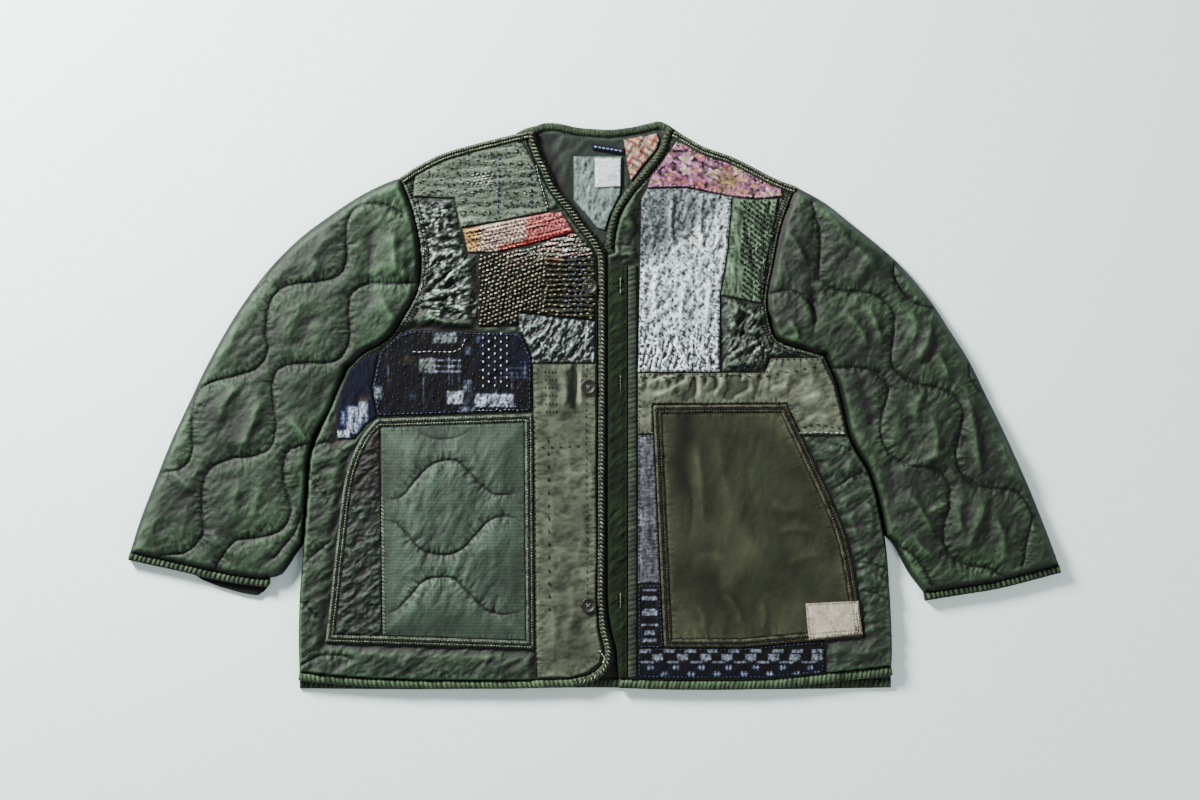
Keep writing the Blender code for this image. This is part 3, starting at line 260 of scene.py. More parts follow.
FOLDS_FRONT_LEFT = (
    (201, 92, 180, 108, 152, 124, 5, 4), (199, 84, 178, 86, 152, 96, 5, 3.5),
    (199, 78, 180, 66, 160, 60, 5, 4), (200, 72, 190, 58, 178, 44, 4, 3),
    (172, 124, 166, 104, 162, 82, 4, 4), (185, 116, 176, 100, 172, 76, -3, 4),
    (158, 72, 166, 54, 176, 42, 3.5, 4), (205, 108, 194, 104, 184, 96, 3, 3),
    (20, 225, 34, 214, 46, 206, 2.2, 5), (28, 240, 40, 220, 50, 198, 2, 5),
    (20, 181, 34, 176, 50, 179, 1.8, 4), (280, -285, 300, -270, 330, -262, 2.5, 7),
    (290, -300, 318, -292, 345, -296, 2, 6), (318, -110, 326, -135, 322, -160, 2.5, 6),
    (325, -200, 338, -208, 346, -216, 2, 5), (305, -95, 298, -75, 304, -62, 2.5, 6),
)
# Gathered ground near the armholes: middle, half width, half height and way of the pleats
GATHERS_RIGHT = ((-186, 212, 32, 34, 15), (-176, 160, 32, 28, 40), (-170, 118, 44, 22, 12))
GATHERS_LEFT = ((176, 80, 32, 48, 60), (212, 60, 30, 14, 95))

FOLDS_POCKET_LEFT = (
    (118, -40, 124, -90, 128, -150, 1.8, 7), (142, -30, 150, -80, 160, -120, 1.2, 8),
    (250, -120, 228, -124, 204, -116, 1.2, 7), (262, -150, 236, -146, 214, -152, 1.3, 6),
    (270, -176, 246, -180, 226, -190, 1.2, 6), (110, -190, 134, -178, 156, -186, 1.1, 8),
    (100, -60, 112, -110, 108, -170, -1.1, 8), (176, -60, 180, -110, 172, -150, -1, 9),
    (150, -222, 166, -240, 172, -262, 1.4, 5), (196, -232, 200, -250, 196, -268, 1.2, 5),
    (120, -236, 128, -252, 126, -268, 1.2, 5), (214, -30, 222, -54, 238, -80, 0.9, 8),
)
FOLDS_KHAKI_STRIP = (
    (-25, 46, -24, 20, -26, -8, -4, 4), (-16, 44, -17, 18, -16, -6, 2.5, 4),
    (-40, 40, -34, 16, -38, -10, 2, 5), (-60, 36, -54, 10, -58, -14, 1.6, 5),
    (-34, -40, -30, -80, -36, -120, 1.4, 7), (-20, -110, -14, -150, -22, -190, 1.4, 7),
    (-56, -90, -50, -130, -56, -170, 1.2, 7), (-30, -210, -26, -245, -34, -280, 1.6, 7),
    (-54, -230, -48, -262, -50, -300, 1.4, 6), (-8, -60, -4, -90, -8, -120, 1.2, 5),
)
FOLDS_KHAKI_BAND = (
    (60, 22, 78, 30, 100, 34, 2.2, 4), (66, 8, 88, 16, 112, 30, 2.8, 4.5),
    (104, 2, 114, 16, 118, 34, -2.5, 4), (122, 2, 124, 18, 124, 34, 2.6, 4),
    (150, 6, 164, 16, 178, 26, -3, 6), (140, 8, 148, 22, 150, 34, 2.4, 4),
    (164, 4, 176, 12, 190, 18, 2.4, 5), (206, 14, 214, 20, 230, 18, 2, 5), (240, 0, 256, 8, 270, 16, 2, 6),
    (246, -22, 262, -14, 278, -16, 1.8, 5), (226, 44, 228, 30, 222, 18, 1.6, 5),
    (252, 46, 256, 32, 254, 20, 1.6, 5),
)
FOLDS_CRINKLED = (
    (-86, 60, -60, 84, -38, 96, 4, 3.5), (-60, 52, -44, 70, -36, 92, 4, 3.5),
    (-34, 54, -22, 76, -20, 96, 3.5, 3), (-12, 54, -10, 74, -4, 92, 3, 3),
    (-70, 76, -54, 66, -40, 60, 3, 3),
)
FOLDS_SILVER = (
    (92, 250, 90, 215, 92, 180, 3, 3.5), (127, 246, 124, 212, 128, 176, 2.6, 3.5),
    (76, 170, 70, 130, 74, 90, 2, 4), (110, 150, 102, 112, 104, 80, 2, 4),
    (136, 150, 134, 118, 128, 84, 1.8, 4), (112, 84, 128, 62, 138, 42, 2.4, 3.5),
    (92, 74, 104, 58, 112, 40, 2.2, 3.5), (70, 78, 78, 60, 82, 42, 2.2, 3.5),
    (60, 230, 68, 200, 64, 170, 1.6, 4), (146, 230, 146, 200, 140, 176, 1.6, 4),
)

# Marks of the indigo patches: x0, y0, x1, y1, colour and cover; columns of x and both ends; rows of both
# ends, levels, half height, colour and cover
WHITE, GREY, BUFF, KASURI_PALE = (214, 220, 226), (150, 160, 172), (132, 122, 96), (186, 194, 204)
INDIGO_MARKS = (
    (-192, 71, -161, 84, (172, 184, 180), 0.9), (-204, 70, -189, 84, (84, 76, 58), 0.8),
    (-223, 45, -210, 57, BUFF, 0.85), (-207, 36, -187, 54, (176, 184, 178), 0.9),
    (-260, 5, -250, 21, (178, 188, 188), 0.85), (-218, 3, -210, 12, GREY, 0.6),
    (-174, -1, -154, 15, WHITE, 0.95), (-155, 13, -144, 28, GREY, 0.9),
    (-154, -2, -141, 13, (112, 116, 120), 0.8), (-141, -4, -95, 11.6, WHITE, 0.95),
    (-160, -12, -141, -3.4, GREY, 0.85), (-153, 57, -145, 67, GREY, 0.8), (-139, 70, -132, 79, GREY, 0.7),
)
INDIGO_COLUMNS = ((-171.5, 22, 62), (-167.5, 22, 54), (-159.4, 18, 52), (-201.5, -7, 36), (-116, 10, 32),
                  (-97.4, 15, 36), (-90, 18, 36), (-243, 20, 44), (-82, 30, 50))
INDIGO_ROWS = ((-192, -157, (51.1, 44.0, 37.7), 1.0, WHITE, 0.9),
               (-112, -74, (42, 36, 30.6), 0.9, GREY, 0.85),
               (-256, -224, (58, 52, 46.5), 0.7, BUFF, 0.55))
TAIL_MARKS = (
    (-292, -36, -278, -3, WHITE, 0.95), (-278, -22, -267, 4, WHITE, 0.9), (-304, -41, -288, -31, WHITE, 0.95),
    (-299, -26, -294, -9, WHITE, 0.75), (-281, -32, -268, -20, GREY, 0.85),
    (-277, 2, -264, 9, (110, 92, 74), 0.8),
)

# Kasuri marks: place along the band or up the strip, width, level across and height
KASURI_ROWS = (
    ((60, 88, 113, 139, 164, 190, 216, 239, 262), 13, -291.5, 4.6),
    ((74, 104, 131, 156, 184, 211, 236, 262), 13, -298.5, 7.5),
    ((62, 92, 120, 146, 172, 198, 226, 252), 16, -304.6, 2.8),
    ((66, 96, 126, 158, 190, 222, 254), 9, -311.0, 6.0),
    ((82, 114, 144, 176, 206, 238, 262), 10, -318.5, 6.5),
)
KASURI_UPRIGHT_ROWS = ((-221, 2.4, 16), (-232, 5.0, 18), (-244, 2.4, 14), (-250, 6.0, 18), (-262, 2.6, 20),
                       (-273, 6.0, 12), (-281, 4.5, 16))


def curve(points, step=8.0):
    """Evenly spaced points on a smooth line through the given ones: a cubic through each pair that takes its
    end slopes from the neighbours."""
    p = np.array(points, float).reshape(-1, 2)
    q = np.vstack([2 * p[0] - p[1], p, 2 * p[-1] - p[-2]])
    t = np.linspace(0, 1, 12, endpoint=False)[:, None]
    a, b, c, d = q[:-3, None], q[1:-2, None], q[2:-1, None], q[3:, None]
    bend = (2 * a - 5 * b + 4 * c - d) * t**2 + (3 * b - a - 3 * c + d) * t**3
    fine = 0.5 * (2 * b + (c - a) * t + bend)
    return spaced(np.vstack([fine.reshape(-1, 2), p[-1:]]), step)


def spaced(points, step=8.0):
    """Evenly spaced points along a chain of straight pieces."""
    p = np.array(points, float)
    run = np.concatenate([[0], np.cumsum(np.hypot(*np.diff(p, axis=0).T))])
    at = np.linspace(0, run[-1], max(1, round(run[-1] / step)) + 1)
    return np.column_stack([np.interp(at, run, p[:, 0]), np.interp(at, run, p[:, 1])])


def run_of(path):
    """Length of a chain of straight pieces."""
    return np.sum(np.hypot(*np.diff(path, axis=0).T))


def closed(*chains):
    """One anticlockwise outline from chains that meet end to end."""
    p = np.vstack([np.array(c, float).reshape(-1, 2) for c in chains])
    p = p[np.hypot(*(p - np.roll(p, 1, axis=0)).T) > 0.5]
    return p if area_of(p) > 0 else p[::-1]


def area_of(outline):
    """Area inside an outline, half the sum of its edges' cross products: below zero if it runs clockwise."""
    x, y = outline.T
    return np.sum(x * np.roll(y, -1) - np.roll(x, -1) * y) / 2


def normals_of(path, ring=False):
    """Unit left normals of a path at its points, half way between those of the edges on both sides."""
    p = np.array(path, float)
    if ring:
        along = np.roll(p, -1, axis=0) - np.roll(p, 1, axis=0)
    else:
        along = np.gradient(p, axis=0)
    along /= np.maximum(np.hypot(*along.T), 1e-9)[:, None]
    return np.column_stack([-along[:, 1], along[:, 0]])


def beside(path, distance):
    """A path moved to the left of its own direction."""
    return np.array(path, float) + normals_of(path) * distance


def inset(outline, distance):
    """An anticlockwise outline moved inwards, each corner to where its two moved edges meet."""
    p = np.array(outline, float)
    along = np.roll(p, -1, axis=0) - p
    along /= np.hypot(*along.T)[:, None]
    normal = np.column_stack([-along[:, 1], along[:, 0]])
    middle = normal + np.roll(normal, 1, axis=0)
    return p + middle * (distance * 2 / np.maximum(np.sum(middle**2, axis=1), 0.4))[:, None]


def inside(points, outline):
    """Which points lie within an outline: a ray from each crosses it an odd number of times."""
    x, y = points[:, 0], points[:, 1]
    odd = np.zeros(len(points), bool)
    for (x0, y0), (x1, y1) in zip(outline, np.roll(outline, -1, axis=0)):
        if y0 != y1:
            odd ^= ((y0 > y) != (y1 > y)) & (x < x0 + (y - y0) * (x1 - x0) / (y1 - y0))
    return odd


def near(points, line, ring=False):
    """Distance of each point from a chain, the run along it to the nearest place on it, and the side."""
    p = np.array(line, float)
    if ring:
        p = np.vstack([p, p[:1]])
    best = np.full(len(points), 1e18)
    run, side, start = np.zeros(len(points)), np.ones(len(points)), 0.0
    for a, b in zip(p[:-1], p[1:]):
        along = b - a
        size = math.hypot(*along)
        if size < 1e-6:
            continue
        away = points - a
        t = np.clip(away @ along / size**2, 0, 1)
        dx, dy = away[:, 0] - t * along[0], away[:, 1] - t * along[1]
        far = dx * dx + dy * dy
        closer = far < best
        best = np.where(closer, far, best)
        run = np.where(closer, start + t * size, run)
        side = np.where(closer, np.sign(along[0] * away[:, 1] - along[1] * away[:, 0]), side)
        start += size
    return np.sqrt(best), run, side


def nearest_on(points, outline):
    """The nearest place on an outline for each point."""
    p = np.vstack([outline, outline[:1]])
    best, place = np.full(len(points), 1e18), np.array(points, float)
    for a, b in zip(p[:-1], p[1:]):
        along = b - a
        t = np.clip((points - a) @ along / max(along @ along, 1e-9), 0, 1)
        spot = a + t[:, None] * along
        far = np.sum((points - spot) ** 2, axis=1)
        closer = far < best
        best = np.where(closer, far, best)
        place = np.where(closer[:, None], spot, place)
    return place


def clear_of(points, outlines):
    """Distance of each point from the nearest of several pieces; zero within one."""
    far = np.full(len(points), 1e6)
    for outline in outlines:
        far = np.minimum(far, np.where(inside(points, outline), 0.0, near(points, outline, True)[0]))
    return far


def noise(points, size, seed=0):
    """Smooth noise between about -1 and 1: a random slope at every corner of a square lattice, blended."""
    q = points / np.array(size, float)
    cell = np.floor(q).astype(np.int64)
    f = q - cell
    u = f * f * f * (f * (f * 6 - 15) + 10)

    def corner(i, j):
        h = (cell[:, 0] + i) * 374761393 + (cell[:, 1] + j) * 668265263 + (seed + 11) * 974634777
        h = (h ^ (h >> 13)) * 1274126177
        turn = ((h ^ (h >> 16)) & 4095) * (2 * math.pi / 4096)
        return np.cos(turn) * (f[:, 0] - i) + np.sin(turn) * (f[:, 1] - j)

    low = corner(0, 0) + u[:, 0] * (corner(1, 0) - corner(0, 0))
    high = corner(0, 1) + u[:, 0] * (corner(1, 1) - corner(0, 1))
    return 1.6 * (low + u[:, 1] * (high - low))


def drift(points, size, reach, seed=0):
    """Points moved about by noise, so that a pattern laid on them wanders."""
    return points + reach * np.column_stack([noise(points, size, seed + 71), noise(points, size, seed + 72)])


def layers(points, size, seed=0, count=3, share=0.5):
    """Noise at several sizes, each half the one before and fainter."""
    total = 0
    for k in range(count):
        total = total + share**k * noise(points, np.array(size, float) * 0.5**k, seed + 7 * k)
    return total


def creases(points, size, seed=0, count=3, share=0.5):
    """Crumpled cloth: one minus the size of wandering noise, which leaves sharp crests, at several sizes."""
    wander = drift(points, np.max(size) * 1.4, np.max(size) * 0.35, seed)
    total, norm = 0, 0
    for k in range(count):
        crest = np.abs(noise(wander, np.array(size, float) * 0.5**k, seed + 7 * k))
        total = total + share**k * (1 - 2.2 * crest)
        norm += share**k
    return total / norm


def turned(points, degrees):
    """Points in axes turned by an angle, to draw a pattern out along one of them."""
    c, s = math.cos(math.radians(degrees)), math.sin(math.radians(degrees))
    return np.column_stack([points[:, 0] * c + points[:, 1] * s, -points[:, 0] * s + points[:, 1] * c])


def mixed(rgb, colour, share):
    """One colour laid over another, by a share for each point."""
    share = np.reshape(share, (-1, 1))
    return rgb * (1 - share) + np.asarray(colour, float) * share


def bell(value, wide):
    """Ridge that is 1 where value is 0 and fades over wide."""
    return np.exp(-((value / wide) ** 2))


def drawn(p, x, y, wide, tall):
    """Share of the pull of gathers about a place: a broad flat-topped ridge both ways."""
    return np.exp(-((p[:, 0] - x) / wide) ** 4 - ((p[:, 1] - y) / tall) ** 4)


def waves(value, length):
    """Sine wave along value."""
    return np.sin(2 * math.pi * value / length)


def puckers(run, rim, size, seed=0):
    """Creases across the run of an edge."""
    return creases(np.column_stack([run, rim * 0.3]), size, seed, 2)


def soft_step(value, low, high):
    """Smooth change from 0 at low to 1 at high."""
    t = np.clip((value - low) / (high - low), 0, 1)
    return t * t * (3 - 2 * t)


def quilted(points, lines, height, reach, seed=0, tuck=1.3):
    """Rise of padding away from its stitched lines: the quarter of a circle, drawn up into tucks that cross
    each line and fade away from it."""
    far = np.full(len(points), 1e6)
    run = np.zeros(len(points))
    for number, line in enumerate(lines):
        d, along, side = near(points, curve(line, 6))
        closer = d < far
        far = np.where(closer, d, far)
        run = np.where(closer, along + 400 * number + 200 * (side > 0), run)
    t = np.clip(far / reach, 0, 1)
    rise = height * np.sqrt(1 - (1 - t) ** 2)
    across = np.column_stack([run, far * 0.35])
    tucks = creases(across, 7.5, seed, 2) * tuck * np.exp(-far / 9) * np.clip(far / 2.5, 0, 1)
    return rise + tucks


def folded(points, folds):
    """Rise of laid folds: each has a crest along its line, steeper on its left, and fades at both ends."""
    rise = np.zeros(len(points))
    for *line, height, half in folds:
        path = curve(line, 8)
        d, run, side = near(points, path)
        share = run / run_of(path)
        fade = soft_step(share, -0.05, 0.3) * (1 - soft_step(share, 0.75, 1.05))
        n = d / (half * np.where(side > 0, 0.75, 1.25))
        rise += height * fade * np.exp(-(n**1.6))
    return rise


def blurred(grid, weight, reach):
    """Mean of a grid over a square window, counting only where the weight is set."""

    def window(a):
        for axis in (0, 1):
            pad = [(reach + 1, reach) if k == axis else (0, 0) for k in (0, 1)]
            total = np.cumsum(np.pad(a, pad), axis=axis)
            size = 2 * reach + 1
            a = np.take(total, range(size, total.shape[axis]), axis) - np.take(
                total, range(0, total.shape[axis] - size), axis
            )
        return a

    return window(grid * weight) / np.maximum(window(weight), 1e-6)


def linear(colour):
    """Linear light of display colours from 0 to 255."""
    c = np.clip(np.array(colour, float) / 255, 0, 1)
    return np.where(c <= 0.04045, c / 12.92, ((c + 0.055) / 1.055) ** 2.4)


def add_mesh(name, verts, faces, smooth, tones, paint):
    """Object from arrays: millimetre points, lists of faces as whole arrays, and a colour for each point."""
    mesh = bpy.data.meshes.new(name)
    place = np.column_stack([verts[:, 0] - SHIFT[0], verts[:, 1] - SHIFT[1], verts[:, 2]]) * MM
    mesh.vertices.add(len(place))
    mesh.vertices.foreach_set("co", place.astype(np.float32).ravel())
    loops = np.concatenate([f.ravel() for f in faces])
    sizes = np.concatenate([np.full(f.shape[0], f.shape[1]) for f in faces])
    mesh.loops.add(len(loops))
    mesh.loops.foreach_set("vertex_index", loops.astype(np.int32))
    mesh.polygons.add(len(sizes))
    mesh.polygons.foreach_set("loop_start", (np.cumsum(sizes) - sizes).astype(np.int32))
    rounded = np.concatenate([np.full(f.shape[0], s) for f, s in zip(faces, smooth)])
    mesh.polygons.foreach_set("use_smooth", rounded)
    mesh.update(calc_edges=True)
    mesh.validate()
    tone = mesh.color_attributes.new("tone", "FLOAT_COLOR", "POINT")
    rgba = np.column_stack([DYE_DEPTH * linear(tones) ** DYE_RANGE, np.ones(len(tones))])
    tone.data.foreach_set("color", rgba.astype(np.float32).ravel())
    mesh.materials.append(paint)
    made = bpy.data.objects.new(name, mesh)
    bpy.context.scene.collection.objects.link(made)
    return made


def cloth(name, outline, base, top, tint, paint, step=1.5, wear_and_shade=1.0):
    """Closed cloth over an outline: a square grid lifted to top, its rim moved onto the outline, a skirt
    down to the base and one flat face beneath. Colour is tint with a painted highlight on crests, painted
    shade in hollows and painted shade on the skirt's foot."""
    low = outline.min(axis=0) - 1.5 * step
    count = np.ceil((outline.max(axis=0) + 1.5 * step - low) / step).astype(int)
    gx, gy = low[0] + step * np.arange(count[0] + 1), low[1] + step * np.arange(count[1] + 1)
    cx, cy = np.meshgrid(gx[:-1] + step / 2, gy[:-1] + step / 2)
    kept = inside(np.column_stack([cx.ravel(), cy.ravel()]), outline).reshape(cx.shape)
    for _ in range(8):
        a, b, c, d = kept[:-1, :-1], kept[:-1, 1:], kept[1:, :-1], kept[1:, 1:]
        pinch = (a & d & ~b & ~c) | (b & c & ~a & ~d)
        if not pinch.any():
            break
        kept[1:, 1:] &= ~pinch
        kept[1:, :-1] &= ~pinch
    wide = np.pad(kept, 1).astype(int)
    uses = wide[:-1, :-1] + wide[:-1, 1:] + wide[1:, :-1] + wide[1:, 1:]
    used = uses > 0
    number = np.cumsum(used.ravel()).reshape(used.shape) - 1
    px, py = np.meshgrid(gx, gy)
    plan = np.column_stack([px[used], py[used]])
    rim = (uses < 4)[used]
    plan[rim] = nearest_on(plan[rim], outline)
    a, b = outline - np.roll(outline, 1, axis=0), np.roll(outline, -1, axis=0) - outline
    turn = np.arctan2(a[:, 0] * b[:, 1] - a[:, 1] * b[:, 0], np.sum(a * b, axis=1))
    at_rim = np.flatnonzero(rim)
    for corner in outline[np.abs(turn) > 0.5]:
        plan[at_rim[np.argmin(np.sum((plan[at_rim] - corner) ** 2, axis=1))]] = corner
    z = top(plan)
    r, c = np.nonzero(kept)
    quads = np.column_stack([number[r, c], number[r, c + 1], number[r + 1, c + 1], number[r + 1, c]])
    starts, stops = [], []
    for (dr, dc), (a, b) in zip(((-1, 0), (0, 1), (1, 0), (0, -1)), ((0, 1), (1, 2), (2, 3), (3, 0))):
        open_side = ~wide[r + 1 + dr, c + 1 + dc].astype(bool)
        starts.append(quads[open_side, a])
        stops.append(quads[open_side, b])
    starts, stops = np.concatenate(starts), np.concatenate(stops)
    total = len(plan)
    follow = np.full(total, -1)
    follow[starts] = stops
    lower = np.full(total, -1)
    lower[at_rim] = total + np.arange(len(at_rim))
    left = np.zeros(total, bool)
    left[starts] = True
    bottoms = []
    while left.any():
        loop, hop = np.array([np.flatnonzero(left)[0]]), follow.copy()
        first = loop[0]
        while True:
            loop = np.concatenate([loop, hop[loop]])
            hop = hop[np.maximum(hop, 0)]
            again = np.flatnonzero(loop[1:] == first)
            if len(again):
                loop = loop[: again[0] + 1]
                break
        left[loop] = False
        bottoms.append(lower[loop[::-1]][None, :])
    skirt = np.column_stack([starts, lower[starts], lower[stops], stops])
    verts = np.column_stack([plan, z])
    foot = np.column_stack([plan[at_rim], np.full(len(at_rim), float(base))])
    grid = np.zeros(used.shape)
    grid[used] = z
    weight = used.astype(float)
    small, large, broad = (blurred(grid, weight, max(least, round(reach / step)))[used]
                           for least, reach in ((1, 2.2), (2, 6.0), (3, 15.0)))
    # Painted light from the relief: hollows painted darker as painted shade, crests painted lighter as
    # painted highlight, by the last argument's share
    hollow = np.clip((z - small) * 0.55 + (z - large) * 0.16 + (z - broad) * 0.06, -0.65, 0.6) * wear_and_shade
    crest = np.clip(hollow, 0, 1)[:, None]
    rgb = tint(plan) * (1 + 1.25 * np.minimum(hollow, 0))[:, None] * (1 + 0.35 * crest) + 30 * crest
    rgb = np.clip(rgb, 0, 255)
    # The skirt's foot painted darker: painted shade on the cloth's sides
    tones = np.vstack([rgb, rgb[at_rim] * 0.8])
    everything = np.vstack([verts, foot])
    smooth = [True, False] + [False] * len(bottoms)
    return add_mesh(name, everything, [quads, skirt] + bottoms, smooth, tones, paint)


def pleats(run, spacing, seed=0):
    """Gathers along a run: broad crests at 1 between narrow grooves at -1, their spacing a little uneven."""
    u = run / spacing + 0.35 * noise(np.column_stack([run, 0 * run]), 3.2 * spacing, seed)
    return 1 - 2 * np.abs(np.cos(np.pi * u)) ** 4


def binding(name, path, section, base, gather, tint, paint, ring=False, seed=0, square=3.2):
    """Rounded binding carried along a path: across is 0 to 1 over its width, the section a half round that is
    pinched and swollen by creases along the run. section holds the near and far edge and the height."""
    near_edge, far_edge, tall = section
    path = np.array(path, float)
    n = normals_of(path, ring)
    run = np.concatenate([[0], np.cumsum(np.hypot(*np.diff(path, axis=0).T))])
    across = np.linspace(0, 1, 11)
    s, t = np.meshgrid(run, across, indexing="ij")
    spot = np.column_stack([s.ravel() + 2.5 * (t.ravel() - 0.5), t.ravel() * 5])
    even = 0.0 if square > 5 else 0.5
    small = (0.7 - 0.3 * even) * creases(spot, (1.6 * gather, 9), seed, 2)
    pull = (even * pleats(spot[:, 0], gather, seed) + small).reshape(s.shape)
    swell = layers(np.column_stack([s.ravel(), 0 * s.ravel()]), 40, seed + 3, 2).reshape(s.shape)
    body = (1 - np.abs(2 * t - 1) ** square) ** 0.5
    body = np.maximum(body, 0.62)
    height = base + (tall - base) * body * (0.84 + 0.13 * pull + 0.03 * swell)
    away = near_edge + (far_edge - near_edge) * t
    x, y = path[:, 0, None] + n[:, 0, None] * away, path[:, 1, None] + n[:, 1, None] * away
    top = np.stack([x, y, height], axis=2)
    ends = top[:, [0, -1]].copy()
    ends[:, :, 2] = base
    rows = np.concatenate([top, ends[:, ::-1]], axis=1)
    length, wide = rows.shape[:2]
    index = np.arange(length * wide).reshape(length, wide)
    up = far_edge > near_edge
    a, b = (index, np.roll(index, -1, axis=0)) if ring else (index[:-1], index[1:])
    c, d = np.roll(b, -1, axis=1), np.roll(a, -1, axis=1)
    quads = np.stack([a, b, c, d], axis=2).reshape(-1, 4)
    faces = [quads if up else quads[:, ::-1]]
    smooth = [True]
    if not ring:
        first, last = index[0][None, :], index[-1][None, ::-1]
        faces += [first, last] if up else [first[:, ::-1], last[:, ::-1]]
        smooth += [False, False]
    plan = rows[:, :, :2].reshape(-1, 2)
    # Painted highlight on the gathers' crests and painted shade in their grooves; the foot rows are painted
    # darker as painted shade on the sides
    shade = np.concatenate([pull, pull[:, [0, -1]] * 0 - 0.6], axis=1).ravel()
    rgb = tint(plan) * (1 + 0.8 * np.minimum(shade, 0.3))[:, None] + 34 * np.clip(shade, 0, 1)[:, None]
    return add_mesh(name, rows.reshape(-1, 3), faces, smooth, np.clip(rgb, 0, 255), paint)


def thread(name, stitches, tones, top, paint, lift=0.25):
    """Stitches as small closed grains: four places along, four round, swollen in the middle and sunk at both
    ends. stitches holds x, y, turn, length and width; top gives the cloth's height."""
    x, y, turn, length, width = np.array(stitches, float).T[:, :, None, None]
    along, thick, rise = (np.reshape(row, (4, 1)) for row in (
        (-0.5, -0.3, 0.3, 0.5), (0.35, 0.95, 0.95, 0.35), (-0.35, 0.45, 0.45, -0.35)))
    angle = np.array([0.25, 0.75, 1.25, 1.75]) * math.pi
    c, s = np.cos(turn), np.sin(turn)
    u = along * length + 0 * angle
    v, w = np.cos(angle) * thick * width / 2 * 1.3, np.sin(angle) * thick * width / 2
    px, py = x + u * c - v * s, y + u * s + v * c
    spine = np.column_stack([(x + along * length * c).ravel(), (y + along * length * s).ravel()])
    ground = top(spine).reshape(len(x), 4, 1)
    pz = ground + w + rise * width + lift
    verts = np.stack([px, py, pz], axis=3).reshape(-1, 3)
    index = np.arange(len(x) * 16).reshape(len(x), 4, 4)
    a, b = index[:, :-1], index[:, 1:]
    sides = np.stack([a, b, np.roll(b, -1, axis=2), np.roll(a, -1, axis=2)], axis=3).reshape(-1, 4)
    caps = np.concatenate([index[:, 0], index[:, -1, ::-1]])
    shades = np.repeat(np.array(tones, float), 16, axis=0)
    return add_mesh(name, verts, [sides, caps], [True, False], shades, paint)


def running(line, length=2.6, gap=1.4, width=0.9, away=0.0, seed=0, waver=0.15):
    """Running stitches along a line: x, y, turn, length and width of each."""
    path = spaced(beside(line, away), length + gap)
    mid = (path[1:] + path[:-1]) / 2
    turn = np.arctan2(*(path[1:] - path[:-1])[:, ::-1].T)
    rng = np.random.default_rng(seed)
    count = len(mid)
    turn = turn + waver * rng.normal(size=count) * 0.6
    return np.column_stack([mid + waver * rng.normal(size=(count, 2)), turn,
                            length * rng.uniform(0.8, 1.15, count), np.full(count, width)])


def whipped(line, spacing=3.2, length=5.0, width=1.0, lean=60.0, away=0.0, seed=0):
    """Whip stitches that cross a line at an angle of lean degrees."""
    made = running(line, spacing * 0.5, spacing * 0.5, width, away, seed)
    made[:, 2] += math.radians(lean)
    made[:, 3] = length * np.random.default_rng(seed + 1).uniform(0.8, 1.15, len(made))
    return made


def rows_in(outline, size, length, width, degrees=0.0, seed=0, waver=0.3, offset=0.5, box=None):
    """Stitches in rows over an outline: size is their spacing along and between rows, offset the shift of
    every other row. box limits them to x0, y0, x1, y1."""
    spin = turned(np.array(outline, float), degrees)
    low, high = spin.min(axis=0), spin.max(axis=0)
    y = np.arange(low[1] + size[1] * 0.6, high[1], size[1])
    x = np.arange(low[0] + size[0] * 0.6, high[0], size[0])
    gx, gy = np.meshgrid(x, y)
    gx = gx + (np.arange(len(y)) % 2)[:, None] * offset * size[0]
    flat = turned(np.column_stack([gx.ravel(), gy.ravel()]), -degrees)
    rng = np.random.default_rng(seed)
    flat = flat + rng.normal(size=flat.shape) * waver
    keep = inside(flat, np.array(outline, float)) & (near(flat, outline, True)[0] > 1.2)
    if box:
        keep &= (flat[:, 0] > box[0]) & (flat[:, 1] > box[1]) & (flat[:, 0] < box[2]) & (flat[:, 1] < box[3])
    flat = flat[keep]
    count = len(flat)
    turn = math.radians(degrees) + rng.normal(size=count) * 0.12
    return np.column_stack([flat, turn, length * rng.uniform(0.75, 1.2, count), np.full(count, width)])


def tones_for(stitches, colour, seed=0, vary=0.1):
    """Colour of each stitch, a little lighter or darker than the thread."""
    rng = np.random.default_rng(seed + 5)
    return np.array(colour, float) * (1 + vary * rng.normal(size=(len(stitches), 1)))


def boxes_over(points, rgb, marks, soft=0.8, fray=0.35, seed=0):
    """Colour with charted marks laid over it, their edges soft and frayed.

    Each mark is x0, y0, x1, y1, colour and cover.
    """
    spot = drift(points, 5.0, 0.5, seed)
    broken = 1 - fray * soft_step(noise(points, 2.6, seed + 4), -0.3, 0.5)
    for x0, y0, x1, y1, colour, cover in marks:
        edge = np.min([spot[:, 0] - x0, x1 - spot[:, 0], spot[:, 1] - y0, y1 - spot[:, 1]], axis=0)
        rgb = mixed(rgb, colour, soft_step(edge, -soft, soft) * cover * broken)
    return rgb


def dyed(colour, vary=0.1, size=70, seed=0, fine=0.05):
    """Tint of plain cloth: its colour with cloudy fading and a finer mottle."""

    def tint(points):
        cloud = vary * layers(points, size, seed, 3) + fine * noise(points, 4.0, seed + 20)
        return np.array(colour, float) * (1 + cloud)[:, None]

    return tint


def measure(name, words, default, high, low=0.0):
    """One size setting, in millimetres."""
    return bpy.props.FloatProperty(name=name, description=words + ", in millimetres", default=default,
                                   min=low, max=high)


